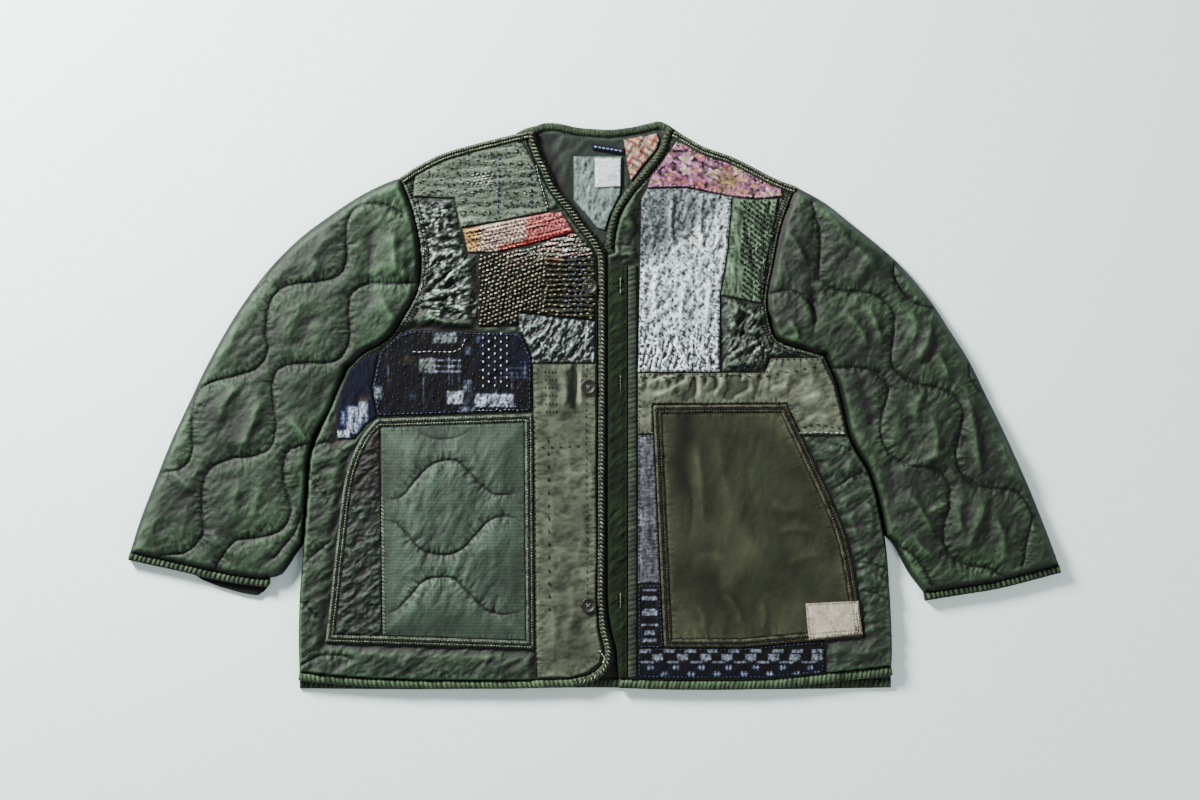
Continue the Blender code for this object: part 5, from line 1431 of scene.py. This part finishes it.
class JACKET_OT_patches_right(bpy.types.Operator):
    """Patches of the right front"""

    bl_idname = "jacket.patches_right"
    bl_label = "Right patches"

    def execute(self, context):
        front = "front_right_cloth"

        def sage_more(p):
            wavy = waves(p[:, 1] + 2.2 * noise(p, 26, 80), 11.8)
            small = 0.9 * creases(p, (6, 4.5), 78, 2) * (1 - wavy) / 2
            return 0.8 * wavy * (0.6 + 0.4 * noise(p, 18, 81)) + small

        patch("patch_sage", front, dyed(tone_of("sage"), 0.1, 46, 83), "sage_cotton", (0.9, (34, 9), 8, 82),
              more=sage_more)

        def madder_tint(p):
            x, y = p.T
            rgb = mixed(dyed((226, 212, 202), 0.09, 26, 84)(p), dyed((206, 184, 140), 0.12, 16, 86)(p),
                        1 - soft_step(x + 2 * noise(p, 8, 85), -138, -132))
            coral = soft_step(x + 2 * noise(p, 8, 87), -82, -77)
            rgb = mixed(rgb, dyed((222, 168, 166), 0.1, 20, 88)(p), coral)
            red = soft_step(x, -116, -108) * bell(y - (181 + (x + 112) * 0.237), 4.2)
            rows = 0.5 + 0.5 * waves(y - 0.22 * x + 1.2 * noise(p, 12, 89), 4.2)
            return mixed(rgb, (186, 74, 78), red) * (0.82 + 0.22 * rows)[:, None]

        patch("patch_madder", front, madder_tint, "madder_cotton", (1.0, (20, 5), 10, 90), 1.15, edge=0.9)

        def ridge_of(p):
            return waves(p[:, 1] + 1.5 * noise(p, 15, 94), 6.0)

        def brown_tint(p):
            level = p[:, 1] - 0.2 * p[:, 0]
            band = soft_step(level, 172, 184) * soft_step(p[:, 0], -112, -104)
            rows = waves(level + noise(p, 10, 92), 5.2)
            kind = noise(np.column_stack([p[:, 0] * 0.2, level]), 7, 93)[:, None]
            pale = np.where(kind > -0.2, (206, 204, 196), (150, 146, 132))
            pale = np.where(kind > 0.12, (214, 150, 138), pale)
            share = band * (0.35 + 0.4 * soft_step(rows, -0.1, 0.6))
            rgb = mixed(dyed(tone_of("brown"), 0.14, 30, 91)(p), pale, share)
            # The ridges painted lighter on their crests and darker in their grooves: painted highlight and
            # painted shade
            return rgb * (0.72 + 0.5 * (0.5 + 0.5 * ridge_of(p)) * soft_step(p[:, 0], -70, -50))[:, None]

        def ridges(p):
            return 1.3 * ridge_of(p) * (0.35 + 0.65 * soft_step(p[:, 0], -70, -50))

        patch("patch_darned_right", front, brown_tint, "brown_cotton", (1.2, (16, 7), 85, 95), 1.2, edge=0.9,
              more=ridges)

        def crinkled_tint(p):
            crest = creases(turned(p, 55), (13, 6.5), 96, 2)
            rgb = dyed(tone_of("blue_green") * 0.8, 0.12, 24, 97)(p)
            # Painted highlight on the creases' crests
            return mixed(rgb, (206, 216, 214), 0.45 * soft_step(crest, 0.35, 0.8))

        patch("patch_crinkled", front, crinkled_tint, "blue_green_nylon", (2.7, (13, 6.5), 55, 96), 1.1,
              "satin", 1.6, edge=1.4, folds=FOLDS_CRINKLED)

        marks = list(INDIGO_MARKS)
        marks += [(x - 0.8, low, x + 0.8, high, WHITE, 0.7) for x, low, high in INDIGO_COLUMNS]
        for x0, x1, levels, half, colour, cover in INDIGO_ROWS:
            marks += [(x0, y - half, x1, y + half, colour, cover) for y in levels]
        for k in range(5):
            marks.append((-252 + 7 * k, 44, -250.4 + 7 * k, 62, BUFF, 0.55))
            marks.append((-222 + 2.6 * k, 45, -220.8 + 2.6 * k, 57, (60, 56, 48), 0.8))

        def indigo_tint(p):
            bluer = np.maximum(soft_step(noise(p, 46, 99), 0.0, 0.6) * 0.4,
                               0.8 * soft_step(p[:, 0], -146, -128) * soft_step(p[:, 1], 20, 50))
            rgb = dyed(tone_of("indigo"), 0.18, 28, 98, 0.12)(p)
            rgb = mixed(rgb, dyed((22, 32, 76), 0.14, 16, 100)(p), bluer)
            return boxes_over(p, rgb, marks, 1.6, 0.4, 101)

        def tail_tint(p):
            return boxes_over(p, dyed((24, 36, 76), 0.2, 16, 103, 0.14)(p), TAIL_MARKS, 2.2, 0.35, 104)

        def khaki_tint(p):
            rgb = mixed(dyed(tone_of("khaki"), 0.12, 44, 107)(p), (160, 164, 148),
                        soft_step(noise(p, 30, 108), 0.15, 0.7) * 0.25)
            # fold: painted shade along the strip's trough fold
            fold = bell(p[:, 0] + 24.5 + 2 * np.sin(p[:, 1] / 14), 3.2) * soft_step(p[:, 1], -14, -4)
            return rgb * (1 - 0.5 * fold)[:, None]

        patch("patch_indigo", front, indigo_tint, "indigo_cotton", (1.1, (24, 10), 70, 102), 1.3)
        patch("patch_indigo_tail", front, tail_tint, "indigo_cotton", (1.2, (8, 22), 10, 106), 1.0)
        patch("patch_khaki_strip", front, khaki_tint, "khaki_cotton", (1.0, (32, 20), 12, 109), edge=1.2,
              folds=FOLDS_KHAKI_STRIP)
        return {"FINISHED"}


class JACKET_OT_patches_left(bpy.types.Operator):
    """Patches of the left front"""

    bl_idname = "jacket.patches_left"
    bl_label = "Left patches"

    def execute(self, context):
        front = "front_left_cloth"
        rng = np.random.default_rng(110)
        blossoms = [(x + rng.normal() * 3, y + rng.normal() * 3, rng.uniform(0, 6), rng.uniform(6.5, 10),
                     rng.integers(0, 4)) for x in range(72, 232, 17) for y in range(246, 312, 15)]
        tones = np.array(((226, 180, 198), (212, 150, 176), (234, 214, 222), (184, 130, 162)))

        def yoke_tint(p):
            rgb = dyed((178, 144, 166), 0.16, 12, 111, 0.16)(p)
            rgb = mixed(rgb, (112, 118, 84), 0.75 * soft_step(noise(p, 7, 112), 0.15, 0.45))
            rgb = mixed(rgb, (52, 34, 48), 0.8 * soft_step(noise(p, 5, 113), 0.25, 0.5))
            for x, y, turn, radius, kind in blossoms:
                dx, dy = p[:, 0] - x, p[:, 1] - y
                far = np.hypot(dx, dy)
                edge = radius * (0.78 + 0.22 * np.cos(5 * (np.arctan2(dy, dx) + turn)))
                shade = (0.78 + 0.28 * np.clip(far / radius, 0, 1))[:, None]
                rgb = mixed(rgb, tones[kind] * shade, 1 - soft_step(far / edge, 0.8, 1.0))
                rgb = mixed(rgb, (196, 190, 96), 1 - soft_step(far, 1.2, 2.4))
            return mixed(rgb, (172, 176, 104), bell(p[:, 0] - 157, 16) * bell(p[:, 1] - 264, 13) * 0.45)

        patch("patch_floral", front, yoke_tint, "floral_cotton", (0.9, (24, 10), 150, 114), 1.05)

        def silver_tint(p):
            x, y = p.T
            across = (x - 158) * (169 - 243) / (54 - 158) + 243 - y
            upper = 1 - soft_step(across + 6 * noise(p, 20, 116), -4, 16)
            upper = upper * soft_step(243 - (x - 51) * 0.7 - y, -200, 40)
            return mixed(dyed(tone_of("silver"), 0.06, 34, 115)(p), dyed((104, 114, 115), 0.14, 24, 117)(p),
                         0.8 * upper)

        def silver_more(p):
            return 1.3 * (1 - soft_step(p[:, 1], 60, 110)) * creases(turned(p, 80), (20, 7), 118, 2)

        patch("patch_silver", front, silver_tint, "silver_cloth", (1.1, (12, 8.5), 70, 119), 1.2, "silver",
              edge=1.5, folds=FOLDS_SILVER, more=silver_more)
        patch("patch_darned_left", front, dyed(tone_of("darned"), 0.14, 24, 121), "darned_green",
              (1.2, (12, 26), 10, 120), 1.2, edge=0.9)

        def khaki_tint(p):
            return mixed(dyed((142, 148, 134), 0.12, 40, 122)(p), (172, 174, 156),
                         soft_step(noise(p, 26, 123), 0.2, 0.7) * 0.3)

        def band_more(p):
            pulled = soft_step(p[:, 1], 2, 30) * (1 - soft_step(p[:, 0], 200, 230))
            return 1.7 * pulled * layers(turned(p, 80), (24, 10), 124, 2)

        patch("patch_khaki_band", front, khaki_tint, "khaki_cotton", (1.0, (36, 18), 30, 125), edge=1.1,
              folds=FOLDS_KHAKI_BAND, more=band_more)

        def mauve_tint(p):
            slub = 0.88 + 0.2 * soft_step(noise(p, (12, 1.6), 127), -0.4, 0.4)
            return dyed(tone_of("mauve"), 0.12, 30, 126, 0.1)(p) * slub[:, None]

        patch("patch_mauve", front, mauve_tint, "mauve_cotton", (0.7, (9, 16), 0, 128), 1.15)
        upright = [(65 - w / 2, y, 65 + w / 2, y + h, KASURI_PALE, 0.9) for y, h, w in KASURI_UPRIGHT_ROWS]
        upright += [(54, -288, 57, -260, KASURI_PALE, 0.35), (72, -270, 76, -232, KASURI_PALE, 0.3)]

        def upright_tint(p):
            rgb = mixed(dyed(tone_of("indigo"), 0.2, 10, 129, 0.14)(p), (110, 110, 126),
                        soft_step(p[:, 1], -232, -214) * 0.35)
            return boxes_over(p, rgb, upright, 0.9, 0.3, 130)

        patch("patch_kasuri_upright", front, upright_tint, "indigo_cotton", (0.8, (9, 16), 0, 131), 1.0)
        marks = []
        for row, (centres, width, level, height) in enumerate(KASURI_ROWS):
            low, high = level - height / 2, level + height / 2
            for x in centres:
                if row < 3:
                    marks.append((x - width / 2, low, x + width / 2, high, KASURI_PALE, 0.9))
                    if row == 1:
                        marks.append((x - 2.5, level - height * 0.8, x + 2.5, level, KASURI_PALE, 0.7))
                else:
                    marks += [(x + shift, low, x + shift + 2.2, high, KASURI_PALE, 0.9)
                              for shift in (-3.0, 1.0)]
                    marks.append((x - width / 2, level - 1.0, x + width / 2, level + 1.0, KASURI_PALE, 0.75))

        def band_tint(p):
            rgb = mixed(dyed((9, 12, 26), 0.2, 10, 132, 0.12)(p), dyed((14, 21, 58), 0.2, 10, 133, 0.12)(p),
                        1 - soft_step(p[:, 1] + 0.01 * p[:, 0], -307, -304))
            return boxes_over(p, rgb, marks, 0.8, 0.25, 134)

        patch("patch_kasuri_band", front, band_tint, "indigo_cotton", (0.8, (16, 9), 80, 135), 0.95)
        return {"FINISHED"}


def half_of(outline, seam, side):
    """The part of an outline on one side of a straight seam: corners kept there, and the seam's two ends."""
    a, b = np.array(seam[:2], float), np.array(seam[2:], float)
    normal = side * np.array([-(b - a)[1], (b - a)[0]])
    here = (outline - a) @ normal
    kept = []
    for point, level, other, beyond in zip(outline, here, np.roll(outline, -1, axis=0), np.roll(here, -1)):
        if level >= 0:
            kept.append(point)
        if level * beyond < 0:
            kept.append(point + (other - point) * level / (level - beyond))
    return closed(np.array(kept))


class JACKET_OT_pockets(bpy.types.Operator):
    """Both patch pockets with their stitched borders, and the bare label on the left one"""

    bl_idname = "jacket.pockets"
    bl_label = "Pockets"

    def execute(self, context):
        e = edges()
        for side, colour, vary, seed, material_slot, gather in (
            ("right", (94, 100, 92), 0.12, 140, "pocket_nylon", 4.4),
            ("left", (90, 92, 78), 0.1, 150, "olive_cotton", 7.0),
        ):
            outline, under = e["pocket_" + side], f"front_{side}_cloth"
            ring = spaced(np.vstack([outline, outline[:1]]), 4)[:-1]
            bind("pocket_border_" + side, ring, (0.15, BORDER_WIDE, 14.2), PATCH_BASE,
                 dyed(colour, vary, 30, seed), material_slot, under, gather, seed + 1, True, 12.0)
            within = inset(outline, 9.4)
            if side == "right":
                self.right_panel(within, under)
            else:
                self.left_panel(within, under)
        patch("pocket_label", "pocket_panel_left_cloth", dyed((214, 210, 198), 0.07, 16, 157, 0.06),
              "label_white", (0.35, 24, 20, 156), 1.0, base=14.2, level=15.4, edge=0.35)
        return {"FINISHED"}

    def right_panel(self, within, under):
        """Quilted panel and crumpled facing of the right pocket, which meet at a straight seam."""
        panel, facing = (inset(half_of(within, POCKET_SEAM, side), SEAM) for side in (1, -1))

        def panel_top(p):
            rim, run, _ = near(p, panel, True)
            puff = quilted(p, QUILT_POCKET, sizes().pocket_puff, 26, 142, sizes().tuck * 0.8)
            fine = 1.5 * layers(turned(p, 80), (52, 22), 143, 2)
            fine += 0.5 * layers(turned(p, 60), (16, 7), 139, 2)
            pull = 0.8 * puckers(run, rim, 8, 144) * np.exp(-rim / 6)
            rise = (puff + fine) * soft_step(rim, -4, 42) + pull * soft_step(rim, 0, 3)
            return POCKET_TOP - 0.2 + rise - 0.3 * np.exp(-rim / 1.5)

        def panel_tint(p):
            ribs = 0.06 * waves(p[:, 1], 3.9) + 0.03 * waves(p[:, 0], 3.9)
            return dyed(tone_of("pocket"), 0.12, 60, 145, 0.03)(p) * (1 + ribs)[:, None]

        def facing_tint(p):
            return mixed(dyed((20, 31, 20), 0.16, 24, 147)(p), dyed((62, 80, 66), 0.14, 20, 148)(p),
                         1 - soft_step(p[:, 1] + 4 * noise(p, 10, 146), -122, -100))

        lay("pocket_panel_right", panel, PATCH_BASE, panel_top, panel_tint, "nylon", "pocket_nylon", under)
        top = patch_top(facing, POCKET_TOP, 2.6, (20, 11), 35, 149, edge=1.0)
        lay("pocket_facing_right", facing, PATCH_BASE, top, facing_tint, "nylon", "nylon_dark", under, 1.15)

    def left_panel(self, within, under):
        """Smooth worn panel of the left pocket."""

        def olive_tint(p):
            wear_and_shade = np.maximum(
                soft_step(noise(p, (46, 70), 153), 0.05, 0.6) * 0.5,
                0.55 * np.exp(-np.abs(p[:, 0] - 82) / 12) * soft_step(noise(p, 40, 154), -0.6, 0.2),
            )
            rgb = mixed(dyed(tone_of("olive"), 0.13, 60, 152)(p), (134, 138, 116), wear_and_shade)
            # dark: painted shade along the panel's trough fold
            dark = 0.3 * bell(p[:, 0] - 108 - 0.06 * p[:, 1], 12) * soft_step(p[:, 1], -150, -60)
            return rgb * (1 - dark)[:, None]

        top = patch_top(within, POCKET_TOP, 0.55, (70, 34), 75, 155, edge=0.9, folds=FOLDS_POCKET_LEFT)
        lay("pocket_panel_left", within, PATCH_BASE, top, olive_tint, "cotton", "olive_cotton", under, 1.8)


class JACKET_OT_buttons(bpy.types.Operator):
    """Three buttons, turned from a raised rim and a dished face, sewn with crossed thread"""

    bl_idname = "jacket.buttons"
    bl_label = "Buttons"

    def execute(self, context):
        base = PATCH_TOP + 0.4
        radius, rise = np.array(BUTTON_PROFILE).T
        turn = np.linspace(0, 2 * math.pi, BUTTON_SIDES, endpoint=False)
        r, a = np.meshgrid(radius * BUTTON_RADIUS, turn, indexing="ij")
        z = base + BUTTON_TALL * np.repeat(rise[:, None], BUTTON_SIDES, axis=1)
        index = np.arange(r.size).reshape(r.shape)
        ahead = np.roll(index, -1, axis=1)
        quads = np.stack([index[1:], ahead[1:], ahead[:-1], index[:-1]], axis=2).reshape(-1, 4)
        faces, smooth = [quads, index[0][None, :], index[-1][None, ::-1]], [True, True, False]
        for number, (x, y) in enumerate(BUTTONS, start=1):
            verts = np.column_stack([(x + r * np.cos(a)).ravel(), (y + r * np.sin(a)).ravel(), z.ravel()])
            p = verts[:, :2] - (x, y)
            rgb = np.array((60, 59, 44)) * (1 + 0.22 * noise(p, (9, 3), 160 + number)[:, None])
            # The dished face painted darker than the rim: painted shade in the dish
            rgb = rgb * (0.35 + 0.65 * soft_step(np.hypot(*p.T), 4.6, 5.6))[:, None] + 10
            piece = add_mesh(f"button_{number}_turned", verts, faces, smooth, rgb, paint("horn"))
            place(piece, f"button_{number}", "button_brown")
            cross = [[x + shift, y, quarter * math.pi / 4, long, thick]
                     for shifts, long, thick in (((0, 0), 6.2, 0.9), ((0.5, -0.5), 5.8, 0.8))
                     for shift, quarter in zip(shifts, (1, 3))]
            sewn = thread(f"button_thread_{number}", cross, np.full((4, 3), 168.0),
                          lambda q: np.full(len(q), base + BUTTON_TALL * 0.52), paint("thread"))
            place(sewn, None, "button_brown")
        return {"FINISHED"}


def sew(name, material_slot, under, *groups):
    """One piece of stitching on a piece of cloth, from groups of stitches, each with its thread's colour."""
    stitches = np.vstack([group for group, _ in groups])
    tones = np.vstack([tones_for(group, colour, k) for k, (group, colour) in enumerate(groups)])
    place(thread(name, stitches, tones, TOPS[under], paint("thread")), None, material_slot)


def within_of(outline, distance):
    """Closed line a distance inside an outline, for stitching round it."""
    path = inset(outline, distance)
    return np.vstack([path, path[:1]])


class JACKET_OT_stitching(bpy.types.Operator):
    """Running, whip and darning stitches"""

    bl_idname = "jacket.stitching"
    bl_label = "Stitching"

    def execute(self, context):
        e = edges()
        white, dark, blue = (tone_of(name) for name in ("pale", "dark", "blue"))
        brown, indigo, silver, darned, band, sage = (
            e["patch_" + name]
            for name in ("darned_right", "indigo", "silver", "darned_left", "khaki_band", "sage"))
        neck = np.vstack([e["neck_right"][:-1], e["edge_right"]])
        sew("binding_right_thread", "binding_green", "binding_right",
            (whipped(neck, 4.6, 5.4, 1.6, 52, 5.6, 170), (164, 172, 154)),
            (whipped(neck, 4.6, 4.6, 1.5, 52, 2.6, 171), (126, 136, 118)),
            (whipped(neck, 4.6, 5.0, 1.5, 52, 8.0, 166), (22, 26, 20)),
            (running(neck, 3.4, 1.4, 1.0, 9.4, 172), (150, 158, 138)))
        sew("neck_left_thread", "binding_green", "neck_binding_left",
            (whipped(e["neck_left"], 4.6, 5.4, 1.5, -52, -5.2, 173), (120, 130, 108)),
            (whipped(e["neck_left"], 4.6, 4.6, 1.4, -52, -2.4, 165), (24, 28, 22)))
        sew("sage_thread", "sage_cotton", "patch_sage",
            (running(((-186, 240), (-185, 214)), 3.6, 3.0, 1.7, 0, 174), blue),
            (running(((-112, 292), (-114, 222)), 3.8, 3.2, 1.7, 0, 175), blue),
            (running(((-75, 282), (-74, 228)), 3.8, 3.2, 1.7, 0, 176), blue),
            (rows_in(((-146, 254), (-118, 254), (-118, 274), (-146, 274)), (5, 3.4), 3.6, 1.1, 10, 177),
             white),
            (running(((-69, 281), (-62, 254), (-55, 230)), 3.0, 1.0, 1.0, 0, 178), white),
            *[(rows_in(sage, (10, 11.8), 3.4, 1.2, 0, seed, waver), colour)
              for seed, waver, colour in ((179, 1.6, (188, 192, 180)), (169, 1.8, (40, 46, 40)))])
        sew("madder_thread", "madder_cotton", "patch_madder",
            *[(rows_in(e["patch_madder"], size, long, wide, 13, seed, box=box), colour)
              for size, long, wide, seed, box, colour in (
                  ((4.4, 4.0), 3.0, 1.3, 180, (-140, 170, -84, 230), (232, 210, 198)),
                  ((5.4, 4.6), 2.8, 1.4, 168, (-156, 170, -84, 230), (124, 100, 92)),
                  ((4.4, 4.2), 3.0, 1.3, 167, (-84, 190, -20, 230), (222, 150, 148)),
                  ((5.6, 6.3), 3.0, 1.4, 181, (-84, 190, -20, 232), (130, 60, 62)))])
        sew("darned_right_thread", "brown_cotton", "patch_darned_right",
            (rows_in(brown, (5.0, 4.8), 3.2, 2.0, 20, 182, 0.5, box=(-137, 92, -56, 180)), (186, 184, 168)),
            (rows_in(brown, (7.6, 6.0), 3.8, 1.6, 2, 183, 0.9, box=(-58, 98, 2, 170)), (172, 168, 150)),
            (rows_in(brown, (4.6, 4.0), 3.4, 1.5, 12, 184, 0.4, box=(-108, 172, 2, 202)), white),
            *[(running(((x, high), (x, low)), 4.2, 3.4, 1.8, 0, seed), blue)
              for x, high, low, seed in ((-30, 176, 106, 185), (-22, 180, 104, 186), (-15, 182, 104, 187))])
        columns = [running(((x, 82), (x, 16)), 3.0, 7.0, 1.8, 0, 188 + k)
                   for k, x in enumerate((-131.2, -124.3, -117.2, -110.1, -103.0))]
        for k in (1, 3):
            columns[k][:, 1] += 5
        sew("indigo_thread", "indigo_cotton", "patch_indigo",
            (np.vstack(columns), (216, 220, 226)),
            (rows_in(indigo, (5.2, 4.4), 1.8, 1.1, 0, 193, 0.5, box=(-140, -10, -90, -2)), (190, 196, 206)),
            (running(((-215, 61), (-165, 61), (-156, 66), (-152, 77)), 4.0, 2.0, 1.1, 0, 194), white),
            (rows_in(indigo, (9, 8), 3.0, 0.8, 90, 195, 0.8), (92, 104, 140)),
            (running(within_of(indigo, 2.2), 3.2, 2.2, 0.9, 0, 196), (120, 130, 156)))
        sew("khaki_strip_thread", "khaki_cotton", "patch_khaki_strip",
            *[(running(((-58 + 4 * k, 42), (-57 + 4 * k, -14)), 3.2, 6.2, 1.0, 0, 197 + k), dark)
              for k in range(4)],
            (running(((-69, -18), (-67, -316)), 3.4, 3.0, 1.0, -2.0, 202), (70, 72, 56)),
            (running(((-10, 44), (-9, -180), (-8, -250)), 3.4, 4.6, 0.9, 0, 203), (86, 88, 68)),
            (running(((-55, -36), (-54, -120), (-53, -250)), 5.0, 10.5, 1.3, 0, 240), (30, 32, 24)),
            (running(((-66, -52), (-14, -50)), 3.2, 7.4, 1.2, 0, 241), (30, 32, 24)),
            (running(((6, -290), (12, -300), (10, -306)), 2.0, 0.6, 1.2, 0, 204), white))
        columns = [running(((x, 246), (x + 1, 42)), 2.2, 8.6, 1.3, 0, 205 + k, 0.5)
                   for k, x in enumerate((55, 60, 70, 79.5, 91, 104, 116, 128, 140))]
        sew("silver_thread", "silver_cloth", "patch_silver", (np.vstack(columns), dark),
            (rows_in(silver, (7.4, 7), 2.8, 1.4, 75, 211, 1.4, box=(50, 38, 150, 90)), dark),
            (rows_in(silver, (9, 11), 2.6, 1.1, 85, 162, 1.6), (120, 126, 128)),
            (running(within_of(silver, 2.4), 2.6, 5.4, 1.1, 0, 212), dark))
        sew("darned_left_thread", "darned_green", "patch_darned_left",
            (rows_in(darned, (6.4, 4.6), 3.6, 2.2, 86, 213, 0.4, box=(172, 124, 208, 242)), (30, 38, 30)),
            (rows_in(darned, (6.4, 4.6), 3.2, 1.5, 86, 214, 0.5, box=(174.5, 126, 206, 240)),
             (152, 170, 150)),
            *[(running(line, 3.6, 1.8, 1.2, 0, seed), colour) for line, seed, colour in (
                (((206, 240), (200, 200), (196, 160), (194, 124)), 215, (30, 38, 30)),
                (((211, 240), (204, 200), (200, 160), (197, 124)), 216, (128, 140, 120)))],
            (running(((186, 179), (210, 198)), 3.0, 0.6, 0.9, 0, 217), white))
        sew("floral_thread", "floral_cotton", "patch_floral",
            (running(within_of(e["patch_floral"], 2.2), 2.8, 2.6, 0.9, 0, 218), (206, 196, 198)))
        sew("khaki_band_thread", "khaki_cotton", "patch_khaki_band",
            (running(((54, 31), (110, 31), (160, 33), (200, 32), (232, 38), (264, 44)), 4.6, 6.4, 1.2, 0,
                     219), dark),
            (running(within_of(band, 2.0), 3.0, 4.0, 0.9, 0, 220), (72, 72, 54)),
            (running(((243, -29), (262, -24), (292, -30)), 4.4, 4.6, 1.2, 0, 221), dark),
            (running(((240, -35), (262, -34), (295, -35)), 5.0, 1.0, 1.2, 0, 222), white))
        for name, colour, material_slot in (("mauve", (52, 50, 60), "mauve_cotton"),
                                            ("kasuri_upright", (120, 130, 150), "indigo_cotton"),
                                            ("kasuri_band", (110, 122, 150), "indigo_cotton")):
            sew(name + "_thread", material_slot, "patch_" + name,
                (running(within_of(e["patch_" + name], 1.8), 2.6, 2.2, 0.9, 0, 223), colour))
        for side, material_slot, colour, deep in (("right", "pocket_nylon", (150, 164, 146), (40, 50, 42)),
                                                  ("left", "olive_cotton", (116, 118, 100), (30, 32, 24))):
            sew(f"pocket_{side}_thread", material_slot, "pocket_border_" + side,
                *[(running(within_of(e["pocket_" + side], depth), *stitch), shade)
                  for depth, stitch, shade in ((2.4, (2.8, 0.5, 1.5, 0, 226), colour),
                                               (7.0, (2.8, 0.5, 1.5, 0, 227), colour),
                                               (4.7, (3.0, 0.2, 1.7, 0, 228), deep))])
        sew("facing_thread", "pocket_nylon", "pocket_panel_right",
            (whipped(((-249.5, -110), (-247.5, -272)), 4.4, 5.0, 1.0, 50, 0, 229), (170, 180, 160)))
        sew("pocket_label_thread", "label_white", "pocket_label",
            *[(running(line, 2.4, 1.0, 0.8, 0, 230 + k), (150, 146, 132)) for k, line in enumerate((
                within_of(e["pocket_label"], 2.0), ((303, -236), (307, -270)), ((254, -271), (310, -266))))])
        for side, sign in (("right", 1), ("left", -1)):
            tape, seam = e["shoulder_" + side], e["armhole_" + side]
            sew(f"shoulder_{side}_thread", "binding_green", "shoulder_tape_" + side,
                (running(tape, 2.6, 0.4, 1.5, 2.6 * sign, 233), (172, 178, 162)),
                (running(tape, 2.6, 0.4, 1.5, 6.6 * sign, 234), (172, 178, 162)),
                (running(tape, 3.0, 0.2, 1.8, 4.6 * sign, 235), (22, 26, 20)))
            sew(f"armhole_{side}_thread", "nylon_green", "front_" + side,
                (running(seam, 2.6, 0.9, 1.3, 3.0 * sign, 236), (140, 150, 132)),
                (running(seam, 3.2, 0.4, 1.6, 5.2 * sign, 237), (24, 30, 24)),
                (running(seam, 2.6, 0.9, 1.3, 7.4 * sign, 164), (124, 134, 118)),
                (running(seam, 3.2, 0.4, 1.6, 9.6 * sign, 163), (24, 30, 24)))
        sew("buttonholes", "nylon_dark", "buttonhole_band",
            *[(running(((29 + 1.6 * s, y - 9), (29 + 1.6 * s, y + 9)), 2.0, 0.3, 1.3, 0, 238), colour)
              for y in (139, 24, -232) for s, colour in ((-1, (34, 42, 32)), (1, (170, 176, 158)))],
            (running(((16, 141), (35, 141)), 2.6, 1.0, 1.0, 0, 239), (34, 40, 32)),
            (running(((34.5, 140), (34.5, -318)), 2.8, 0.9, 1.0, 0, 240), (34, 42, 34)))
        return {"FINISHED"}


class JACKET_PT_panel(bpy.types.Panel):
    """Settings and the pieces, in the order in which they are made"""

    bl_label = "Patched jacket"
    bl_idname = "JACKET_PT_panel"
    bl_space_type = "VIEW_3D"
    bl_region_type = "UI"
    bl_category = "Jacket"

    def draw(self, context):
        for group in (context.scene.jacket_sizes, context.scene.jacket_colours, context.scene.jacket_stage):
            box = self.layout.box()
            for key in group.__annotations__:
                box.prop(group, key)
        for operator in OPERATORS:
            self.layout.operator(operator.bl_idname)


OPERATORS = (
    JACKET_OT_stage, JACKET_OT_back, JACKET_OT_fronts, JACKET_OT_sleeves, JACKET_OT_bindings,
    JACKET_OT_patches_right, JACKET_OT_patches_left, JACKET_OT_pockets, JACKET_OT_buttons,
    JACKET_OT_stitching,
)
GROUPS = (("jacket_sizes", JacketSizes), ("jacket_colours", JacketColours), ("jacket_stage", JacketStage))


def register():
    """Add the settings, operators and panel."""
    for name, group in GROUPS:
        bpy.utils.register_class(group)
        setattr(bpy.types.Scene, name, bpy.props.PointerProperty(type=group))
    for operator in OPERATORS:
        bpy.utils.register_class(operator)
    bpy.utils.register_class(JACKET_PT_panel)


def unregister():
    """Take the settings, operators and panel away again."""
    bpy.utils.unregister_class(JACKET_PT_panel)
    for operator in reversed(OPERATORS):
        bpy.utils.unregister_class(operator)
    for name, group in reversed(GROUPS):
        delattr(bpy.types.Scene, name)
        bpy.utils.unregister_class(group)


def main():
    """Make every piece in the panel's order."""
    register()
    for operator in OPERATORS:
        getattr(bpy.ops.jacket, operator.bl_idname.split(".")[1])()
    bpy.context.view_layer.update()


if __name__ == "__main__":
    main()
